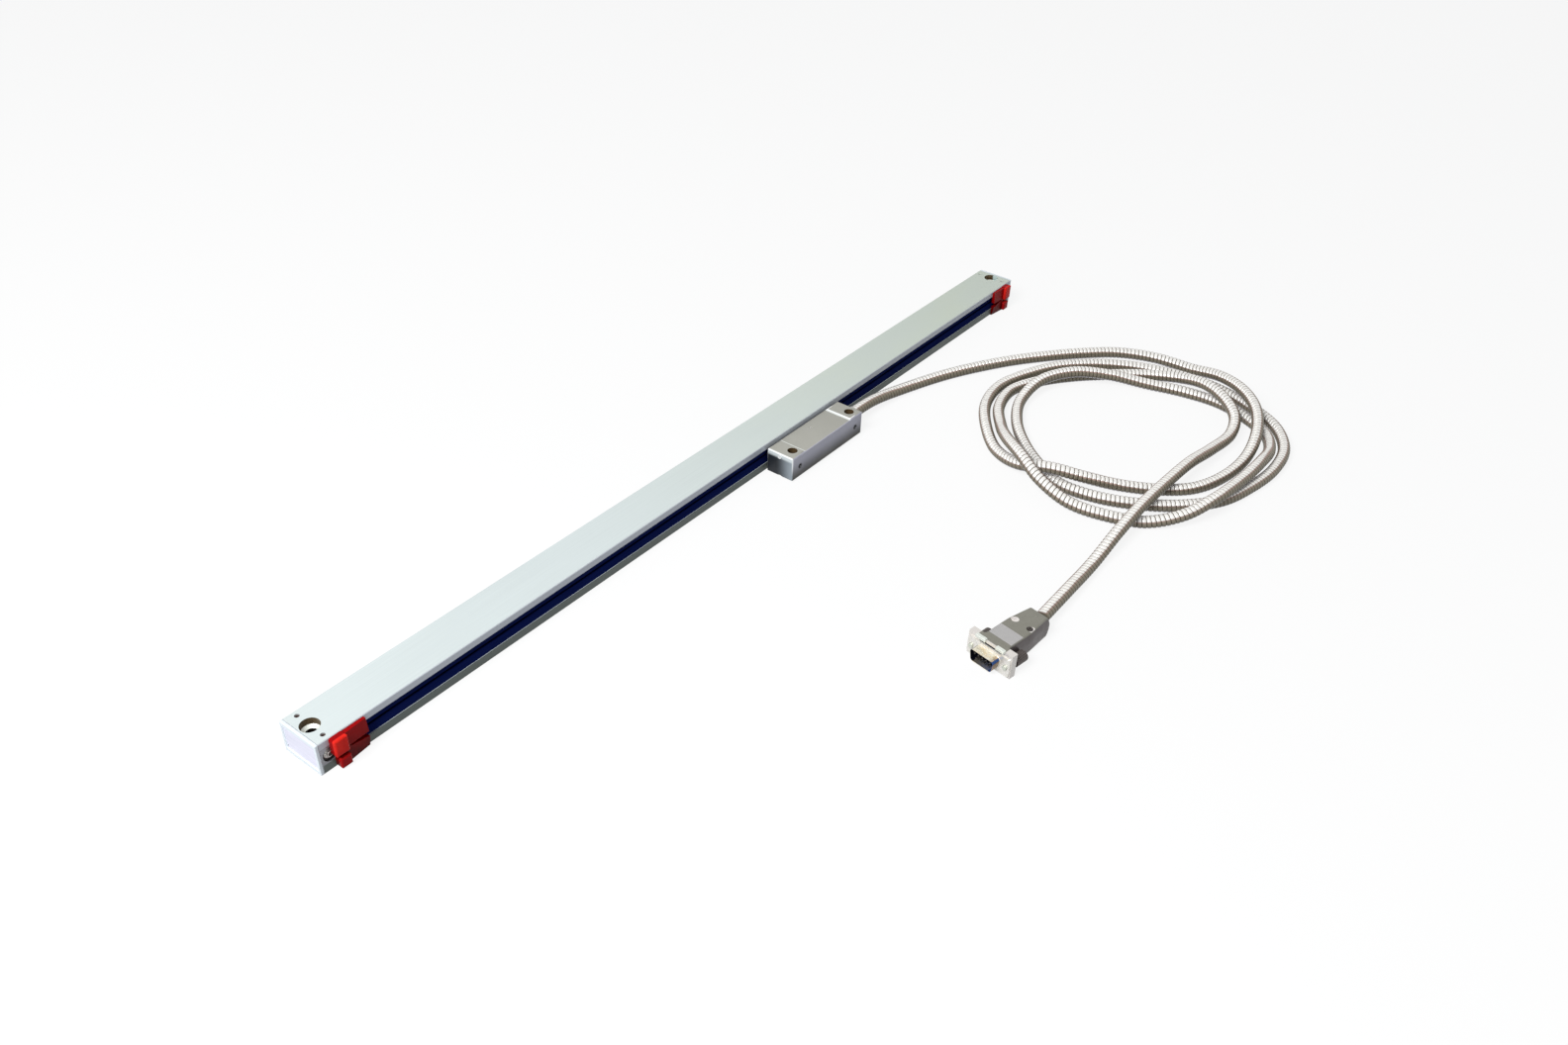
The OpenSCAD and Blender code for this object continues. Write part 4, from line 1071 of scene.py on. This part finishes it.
class SCALE_OT_housing(bpy.types.Operator):
    """Finishes the housing, its end plates and end blocks, and the glass inside"""

    bl_idname = "glass_scale.housing"
    bl_label = "Housing"
    bl_options = {"REGISTER", "UNDO"}

    def execute(self, context):
        settings = context.scene.scale_housing
        plate_metal = self.plate_finish()
        for side in ("near", "far"):
            plate = dressed(f"end_plate_{side}", settings.edge)
            paint_all(plate, plate_metal)
            seat(plate, f"end_plate_{side}")
            self.air_plug(side)
        self.block_screws()
        paint_nodes(anodised(settings), "housing")
        paint_nodes(self.block_finish(settings.metal), "end_block_near", "end_block_far")
        gasket = rubber("joint_gasket", ink(196, 200, 204))
        paint_nodes(gasket, "end_gasket_near", "end_gasket_far")
        paint_nodes(scale_glass(), "glass_scale")
        bed = rubber("black_rubber", ink(26, 26, 28))
        paint_nodes(bed, "glass_bed_upper", "glass_bed_lower")
        lips = rubber("lip_rubber", settings.lips, 0.8, 0.02, 0.02)
        paint_nodes(lips, "seal_lip_upper", "seal_lip_lower")
        return {"FINISHED"}

    @staticmethod
    def block_screws():
        """The end blocks' screws, in painted shade at the near end and with a painted highlight at
        the far end.
        """
        (_, front, _), (_, back, top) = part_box("end_block_screws")
        head_r = 1.4 * MM
        reach = (back - front) / 2 - head_r
        places = [
            Matrix.Translation((x, y, top)) for x, _, _ in holes("housing_holes")
            for y in (-reach, reach)
        ]
        made = Finish("dark_steel", {"Metallic": 0.3})
        # Painted shade on the near screws, a painted highlight on the far ones.
        far = made.rise(made.axes()[0], -1 * MM, 1 * MM)
        steel = stained(made, far, ink(84, 66, 62), ink(196, 200, 196), ink(70, 62, 60))
        screws(
            "end_block_screws", places, steel, head_r, head_h=1.2 * MM,
            shank_r=0.9 * MM, shank_len=2.2 * MM, socket_r=0.75 * MM,
        )

    @staticmethod
    def block_finish(colour):
        """Milled metal of the end blocks, darker towards the bottom."""
        made = Finish("milled_end_metal", {"Metallic": 0.5})
        marks = made.noise(0.35 * MM, 2.0, (6, 1, 1))
        body = made.grained(marks, colour, 0.86, 1.12)
        foot = made.fall(made.axes()[2], 1 * MM, 16 * MM, 0.6)
        body = made.mix(foot, body, shade(colour, 0.4))
        return made.raised(
            marks, 0.01 * MM, base_color=mounting_bores(made, body),
            roughness=0.3 + made.vary(marks, 0.0, 0.1),
        )

    @staticmethod
    def plate_finish():
        """Bright bluish end plates, each with a faint lilac panel and a pin mark in its corner."""
        made = Finish("end_plate_metal", {"Metallic": 0.1, "Specular IOR Level": 0.4})
        across, deep, up = made.axes()
        _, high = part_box("end_plate_far")
        half_z = high.z / 2
        brushed = made.noise(0.4 * MM, 2.0, (1, 40, 1))
        rim = made.mix(made.vary(brushed, 0.0, 1.0), ink(222, 232, 238), ink(240, 248, 254))
        panel = made.mix(made.vary(brushed, 0.0, 1.0), ink(222, 222, 240), ink(238, 236, 252))
        inner = made.fall(abs(across), high.x - 0.62 * MM, high.x - 0.5 * MM)
        inner = inner * made.fall(abs(deep), high.y - 2.1 * MM, high.y - 1.9 * MM)
        inner = inner * made.fall(abs(up - half_z), half_z - 3.1 * MM, half_z - 2.9 * MM)
        pin = made.fall(away(deep - 12.2 * MM, up - 4.8 * MM), 0.35 * MM, 0.5 * MM)
        return made.raised(
            brushed, 0.008 * MM, roughness=0.34 + made.vary(brushed, 0.0, 0.1),
            base_color=made.mix(pin, made.mix(inner, rim, panel), ink(70, 74, 80)),
        )

    @staticmethod
    def air_plug(side):
        """A plug screw in its port: a black ring round a pale face with a dark socket."""
        node = f"air_plug_{side}"
        low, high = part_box(node)
        x, z = (low.x + high.x) / 2, (low.z + high.z) / 2
        radius = (high.x - low.x) / 2
        plug = rod(node + "_dressed", (x, high.y, z), (x, low.y, z), radius, 40)
        with Editing(plug) as edit:
            for inset, rise in ((1.1, 0.5), (0.9, -0.25), (0.6, -1.1)):
                edit.pick(lambda f: f.normal.y < -0.9 and len(f.verts) > 8)
                edit.pull(inset * MM, (0, rise * MM, 0))
        rounded(plug, 0.15 * MM)
        smooth(plug)
        made = Finish(f"port_metal_{side}", {"Metallic": 0.6})
        across, _, up = made.axes()
        middle = away(across - x, up - z)
        marks = made.noise(1.4 * MM)
        face = made.mix(made.rise(marks, 0.35, 0.7), ink(176, 172, 168), ink(214, 212, 208))
        face = made.mix(made.fall(middle, 1.25 * MM, 1.45 * MM), face, ink(60, 52, 48))
        ring = made.rise(middle, radius - 1.3 * MM, radius - 1.1 * MM)
        paint_all(plug, made.raised(
            marks, 0.008 * MM, base_color=made.mix(ring, face, ink(22, 20, 20)),
            roughness=made.vary(marks, 0.28, 0.42),
        ))
        seat(plug, node)


class SCALE_OT_clips(bpy.types.Operator):
    """Models the two transport clips"""

    bl_idname = "glass_scale.clips"
    bl_label = "Transport clips"
    bl_options = {"REGISTER", "UNDO"}

    def execute(self, context):
        settings = context.scene.scale_clips
        plastic = self.finish_red(settings.plastic)
        for side in ("near", "far"):
            node = f"clip_{side}"
            low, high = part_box(node)
            inner = max(abs(low.x), abs(high.x)) - 8.8 * MM
            knob = low.y + 1.2 * MM

            def outer_edge(v):
                return knob < v.co.y < knob + 2.6 * MM and abs(v.co.x) < inner

            clip = dressed(node, settings.edge)
            with Editing(clip, "VERT") as edit:
                edit.pick(lambda v: outer_edge(v) and v.co.z < low.z + 1.2 * MM)
                bpy.ops.transform.translate(value=(0, settings.lean, 0))
                edit.pick(lambda v: outer_edge(v) and v.co.z > high.z - 1.8 * MM)
                bpy.ops.transform.translate(value=(0, settings.lean * 0.6, 0))
            smooth(clip)
            paint_all(clip, plastic)
            seat(clip, node)
        return {"FINISHED"}

    @staticmethod
    def finish_red(colour):
        """Glossy red plastic, with a painted highlight on the knob and painted shade deepest on
        the lower leg.
        """
        made = Finish("red_plastic", {"Metallic": 0.0, "IOR": 1.49, "Specular IOR Level": 0.07})
        _, deep, up = made.axes()
        low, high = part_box("clip_near")
        flow = made.noise(4 * MM, 3.0, (1, 1, 2.2))
        grain = made.noise(0.25 * MM, 2.0)
        front = made.fall(deep, low.y + 1.4 * MM, low.y + 2.4 * MM)
        knob = front * made.rise(up, low.z + 4 * MM, high.z - 4 * MM)
        # Painted shade that deepens down towards the lower leg, a lighter front and a painted
        # highlight on the knob.
        body = made.grained(up, colour, 0.14, 0.72, low.z, high.z - 3 * MM)
        body = made.mix(front, body, ink(160, 14, 18))
        body = made.mix(knob, body, ink(232, 44, 34))
        body = made.mix(made.rise(flow, 0.4, 0.7, 0.3), body, shade(colour, 0.8))
        return made.raised(
            grain, 0.01 * MM, base_color=body, roughness=made.vary(grain, 0.3, 0.42)
        )


# ------------------------------------------------------------------ reading head


class SCALE_OT_head(bpy.types.Operator):
    """Models the reading head and finishes the parts inside it"""

    bl_idname = "glass_scale.head"
    bl_label = "Reading head"
    bl_options = {"REGISTER", "UNDO"}

    def execute(self, context):
        settings = context.scene.scale_head
        head = dressed("head_body", settings.edge)
        paint_all(head, self.head_finish(settings))
        seat(head, "head_body")
        paint_nodes(blasted(settings.casting), "head_cover", "carriage")
        paint_nodes(milled("dark_screw_steel", ink(80, 78, 80), 0.9, 0.4), "head_cover_screws")
        # The end screw is painted near white: a painted highlight.
        paint_nodes(milled("end_screw_steel", ink(244, 248, 250), 0.1, 0.3), "head_end_screw")
        paint_nodes(
            milled("bright_steel", ink(196, 194, 188), 0.9, 0.3),
            "cable_ferrule", "coupling_blade", "carriage_springs", "roller_pins",
            "face_roller_near", "face_roller_far", "edge_roller_near", "edge_roller_far",
        )
        paint_nodes(circuit_board(), "head_board", "detector_board")
        paint_nodes(rubber("cable_jacket", ink(24, 24, 26)), "cable_cores")
        paint_nodes(scale_glass(), "index_grating")
        paint_nodes(milled("contact_gold", ink(214, 178, 96), 0.9, 0.3), "lamp")
        return {"FINISHED"}

    @staticmethod
    def head_finish(settings):
        """Satin casting with painted highlights on its edges, a lilac cast on its front and
        painted shade at its feet.
        """
        low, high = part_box("head_body")
        made = Finish(
            "cast_head", {"Metallic": 0.1, "Specular IOR Level": 0.3, "Coat Roughness": 0.2}
        )
        across, deep, up = made.axes()
        pits = made.noise(0.3 * MM)
        cloud = made.noise(12 * MM)
        colour = settings.casting

        # The top, with painted shade towards the far end and painted highlights on the edges of
        # its two steps
        top = made.grained(pits, colour, 0.93, 1.04, high=0.72)
        top = made.mix(made.rise(cloud, 0.4, 0.75, 0.35), top, shade(colour, 0.88))
        reach = made.rise(across, low.x + 20 * MM, high.x - 20 * MM)
        top = made.mix(reach, top, shade(colour, 0.9))
        near_step_highlight = made.fall(abs(across - low.x - 14.2 * MM), 0.4 * MM, 1.1 * MM, 0.9)
        far_step_highlight = made.fall(abs(high.x - 14.4 * MM - across), 0.6 * MM, 1.2 * MM)
        top = made.mix(near_step_highlight + far_step_highlight, top, ink(240, 244, 240))

        # The front and the two ends in painted shade towards the foot; the near end in painted
        # shade towards the housing, with a painted highlight along its top
        height = made.rise(up, low.z + 1 * MM, high.z - 3 * MM)
        front = made.mix(height, settings.foot, settings.front)
        far_end = made.mix(height, settings.foot, ink(150, 150, 150))
        inward_shade = made.rise(deep + cloud * 3 * MM, low.y + 0.5 * MM, high.y - 6 * MM)
        near_end = made.mix(inward_shade, ink(158, 168, 176), ink(32, 36, 42))
        brow_highlight = made.rise(up, high.z - 4.5 * MM, high.z - 2.2 * MM, 0.9)
        near_end = made.mix(brow_highlight, near_end, ink(226, 234, 236))
        body = made.mix(made.fall(deep, low.y + 0.3 * MM, low.y + 1.1 * MM), top, front)
        body = made.mix(made.fall(across, low.x + 0.2 * MM, low.x + 0.8 * MM), body, near_end)
        body = made.mix(made.rise(across, high.x - 0.8 * MM, high.x - 0.2 * MM), body, far_end)

        # Painted shade in rings round the side holes, painted highlights on the edges that face
        # the near end, and brown bores
        shallow = made.fall(deep, low.y + 4 * MM, low.y + 5 * MM)
        for x, _, z in holes("head_side_holes"):
            ring = shallow * made.fall(away(across - x, up - z), 1.7 * MM, 2.3 * MM, 0.92)
            body = made.mix(ring, body, ink(34, 37, 46))
        normal = made.node("ShaderNodeNewGeometry", output="Normal")
        toward = made.along(normal, (-1, 0, 0))
        edge = made.rise(toward, 0.14, 0.34) * made.fall(toward, 0.88, 0.98)
        edge = edge * made.rise(up, low.z + 3 * MM, high.z - 4 * MM, 0.9)
        body = made.mix(edge, body, ink(250, 252, 252))
        bore = 3.52 * MM
        body = bored(made, body, holes("head_holes"), bore, high.z, high.z - 6 * MM)
        return made.raised(
            pits, 0.012 * MM, base_color=body, roughness=0.42 + made.vary(cloud, -0.04, 0.08),
            coat_weight=made.vary(cloud, 0.08, 0.02),
        )


# ------------------------------------------------------------------ plug

# Places along the hood behind its rim, in millimetres, and its width there
HOOD_WIDTHS = ((7.4, 17.2), (24, 17.2), (27, 17.0), (36, 14.8), (40.5, 13.6), (44, 12.6))
# Shares of the hood's height, and how much of the full swelling it has there
HOOD_SWELLS = ((0.0, 0.55), (0.18, 0.85), (0.38, 1.0), (0.5, 1.0), (0.62, 1.0), (0.82, 0.6))


class SCALE_OT_plug(bpy.types.Operator):
    """Models the plug's hood, connector and jackscrews"""

    bl_idname = "glass_scale.plug"
    bl_label = "Plug"
    bl_options = {"REGISTER", "UNDO"}

    def execute(self, context):
        settings = context.scene.scale_plug
        hood = hood_metal(settings)
        for half in ("lower", "upper"):
            piece = self.hood_half(settings, half)
            paint_all(piece, hood)
            seat(piece, f"plug_hood_{half}")
        self.hood_screws()
        knob = self.knob_finish()
        self.jackscrew("jackscrew_left", JACKSCREWS_ASIDE, settings.knurls, knob)
        self.jackscrew("jackscrew_right", -JACKSCREWS_ASIDE, settings.knurls, knob)
        self.tabs()
        paint_nodes(shell_metal(settings.shell), "plug_shell")
        paint_nodes(moulded(ink(6, 14, 36)), "plug_insulator")
        # The contacts are painted dark: painted shade inside the shell.
        paint_nodes(milled("plug_gold", ink(58, 54, 50), 0.4, 0.34), "plug_contacts")
        paint_nodes(milled("plug_steel", ink(200, 196, 186), 0.7, 0.3), "plug_clamp")
        return {"FINISHED"}

    @staticmethod
    def hood_half(settings, half):
        """One half of the hood: its rim from the CAD piece, and a swelling shell behind it."""
        node = f"plug_hood_{half}"
        hair = 0.1 * MM
        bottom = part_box("plug_hood_lower")[0].z + 0.55 * MM
        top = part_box("plug_hood_upper")[1].z - 0.55 * MM
        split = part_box("plug_hood_lower")[1].z
        rim = put(dressed(node, settings.edge * 0.7), plug_frame().inverted())
        with Editing(rim) as edit:
            edit.cut((5.6 * MM, 0, 0), (1, 0, 0), clear_outer=True, use_fill=True)

        half_width = 9.4 * MM
        rear = HOOD_WIDTHS[-1][0] * MM
        skin = block("hood_skin", (5.3 * MM, -half_width, bottom), (rear, half_width, top))
        levels = [(bottom + share * (top - bottom), swell) for share, swell in HOOD_SWELLS]
        with Editing(skin) as edit:
            for x in (6.4, *(x for x, _ in HOOD_WIDTHS[:-1])):
                edit.cut((x * MM, 0, 0), (1, 0, 0))
            for level, _ in levels[1:]:
                edit.cut((0, 0, level), (0, 0, 1))
            edit.cut((0, 0, 0), (0, 1, 0))
        with Editing(skin, "VERT") as edit:
            for x, width in HOOD_WIDTHS:
                edit.pick(lambda v: abs(v.co.x - x * MM) < hair)
                edit.stretch(width * MM / (2 * half_width), (x * MM, 0, 0))
            for level, swell in levels:
                edit.pick(lambda v: abs(v.co.z - level) < hair and v.co.x > 7 * MM)
                edit.stretch(1 + 0.09 * swell, (0, 0, 0))
                for start, end, part in ((43, 60, 1.0), (40, 41, 0.4)):
                    edit.pick(
                        lambda v: abs(v.co.z - level) < hair and start * MM < v.co.x < end * MM
                    )
                    bpy.ops.transform.translate(value=(settings.bulge * swell * part, 0, 0))
        rounded(skin, settings.edge, 3)
        upper = half == "upper"
        seam = split + (0.08 * MM if upper else -0.08 * MM)
        with Editing(skin) as edit:
            edit.cut((0, 0, seam), (0, 0, 1), clear_inner=upper, clear_outer=not upper)
        finish_modifier(skin, "SOLIDIFY", thickness=settings.wall, offset=-1)
        piece = merged([rim, skin], node + "_dressed")
        smooth(piece, 40)
        return put(piece, plug_frame())

    @staticmethod
    def hood_screws():
        """The hood's two screws, the left one with a painted highlight and the right one in
        painted shade.
        """
        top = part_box("plug_hood_screws")[1].z + 0.35 * MM
        places = [
            plug_frame() @ Matrix.Translation((HOOD_SCREWS_BACK, side, top))
            for side in (-HOOD_SCREWS_ASIDE, HOOD_SCREWS_ASIDE)
        ]
        made = Finish("plug_screw_steel", {"Metallic": 0.4})
        # Painted highlight on the left screw, painted shade on the right one.
        left = made.rise(made.plug_axis(1), -1 * MM, 1 * MM)
        steel = stained(made, left, ink(56, 48, 44), ink(226, 220, 216), ink(120, 112, 106))
        screws(
            "plug_hood_screws", places, steel, head_r=1.45 * MM, head_h=1.2 * MM,
            shank_r=0.85 * MM, shank_len=9 * MM, socket_r=0.6 * MM,
        )

    @staticmethod
    def knob_finish():
        """Jackscrews with a knob in painted shade behind and a painted highlight on the point in
        front.
        """
        made = Finish("knob_metal", {"Metallic": 0.3})
        # Painted highlight on the point, painted shade on the knob behind it.
        knob = made.rise(made.plug_axis(0), 3 * MM, 5 * MM)
        return stained(made, knob, ink(220, 224, 212), ink(84, 76, 74), ink(104, 98, 92))

    @staticmethod
    def tabs():
        """Two bright tabs folded over the front plate's top edge."""
        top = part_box("plug_hood_upper")[1].z
        made = []
        for start, end in ((3.2 * MM, 10.6 * MM), (-10.4 * MM, -4.2 * MM)):
            tab = block("tab", (-0.5 * MM, start, top - 1.1 * MM), (2 * MM, end, top + 0.9 * MM))
            with Editing(tab) as edit:
                edit.pick(lambda f: f.normal.z > 0.9)
                bpy.ops.mesh.inset(thickness=0.3 * MM)
                bpy.ops.transform.translate(value=(0, 0, 0.15 * MM))
            rounded(tab, 0.3 * MM, 3)
            made.append(tab)
        piece = merged(made, "front_plate_tabs")
        smooth(piece)
        put(piece, plug_frame())
        paint_all(piece, milled("tab_metal", ink(228, 232, 224), 0.3, 0.34))
        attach(piece, "reading_head")

    @staticmethod
    def jackscrew(node, side, knurls, material):
        """A jackscrew: a shank with a collar, and a knob with straight knurls."""
        turn = next(j for j in frame["joints"] if j["name"] == node + "_turn")
        height = Vector(turn["pos_m"]).z
        knob_front, knob_back, shank_front = 7.2 * MM, 16.2 * MM, -1.2 * MM
        collar_front, collar_back = 5.85 * MM, 6.8 * MM
        knob = rod(
            "knob", (knob_front, side, height), (knob_back, side, height), 3.6 * MM, knurls * 2
        )
        with Editing(knob) as edit:
            edit.pick(lambda f: abs(f.normal.x) > 0.9)
            bpy.ops.mesh.inset(thickness=0.7 * MM, use_individual=True)
            turned = math.pi / knurls
            edit.pick(
                lambda f: abs(f.normal.x) < 0.1
                and round(math.atan2(f.normal.z, f.normal.y) / turned - 0.5) % 2 == 0
            )
            bpy.ops.mesh.inset(thickness=0.12 * MM, use_individual=True)
            bpy.ops.transform.shrink_fatten(value=-0.35 * MM)
        shank = rod(
            "shank", (shank_front, side, height), (knob_front + 0.1 * MM, side, height),
            1.45 * MM, 24,
        )
        with Editing(shank) as edit:
            edit.cut((collar_front, 0, 0), (1, 0, 0))
            edit.cut((collar_back, 0, 0), (1, 0, 0))
            edit.pick(
                lambda f: collar_front < f.calc_center_median().x < collar_back
                and abs(f.normal.x) < 0.1
            )
            bpy.ops.mesh.extrude_region_shrink_fatten(
                TRANSFORM_OT_shrink_fatten={"value": 0.8 * MM}
            )
            edit.pick(lambda f: f.normal.x < -0.9 and f.calc_center_median().x < -1 * MM)
            bpy.ops.mesh.inset(thickness=0.5 * MM)
        for part in (knob, shank):
            rounded(part, 0.15 * MM)
        piece = merged([knob, shank], node + "_dressed")
        smooth(piece, 40)
        put(piece, plug_frame())
        paint_all(piece, material)
        seat(piece, node)


# ------------------------------------------------------------------ add-on


class SCALE_PT_sidebar(bpy.types.Panel):
    """Lists the pieces and their settings"""

    bl_idname = "SCALE_PT_sidebar"
    bl_label = "Linear glass scale"
    bl_space_type = "VIEW_3D"
    bl_region_type = "UI"
    bl_category = "Glass scale"

    def draw(self, context):
        for operator, name, _ in STEPS:
            box = self.layout.box()
            box.operator(operator.bl_idname, text=operator.bl_label)
            settings = getattr(context.scene, name)
            for setting in type(settings).__annotations__:
                box.prop(settings, setting)


# The operators in the order in which they run, each with the name and kind of its settings
STEPS = (
    (SCALE_OT_stage, "scale_stage", StageSettings),
    (SCALE_OT_housing, "scale_housing", HousingSettings),
    (SCALE_OT_clips, "scale_clips", ClipSettings),
    (SCALE_OT_head, "scale_head", HeadSettings),
    (SCALE_OT_plug, "scale_plug", PlugSettings),
    (SCALE_OT_hose, "scale_hose", HoseSettings),
)


def register():
    for operator, name, settings in STEPS:
        bpy.utils.register_class(settings)
        bpy.utils.register_class(operator)
        setattr(bpy.types.Scene, name, PointerProperty(type=settings))
    bpy.utils.register_class(SCALE_PT_sidebar)


def unregister():
    bpy.utils.unregister_class(SCALE_PT_sidebar)
    for operator, name, settings in reversed(STEPS):
        delattr(bpy.types.Scene, name)
        bpy.utils.unregister_class(operator)
        bpy.utils.unregister_class(settings)


def main():
    register()
    for operator, _, _ in STEPS:
        group, name = operator.bl_idname.split(".")
        getattr(getattr(bpy.ops, group), name)()


if __name__ == "__main__":
    main()
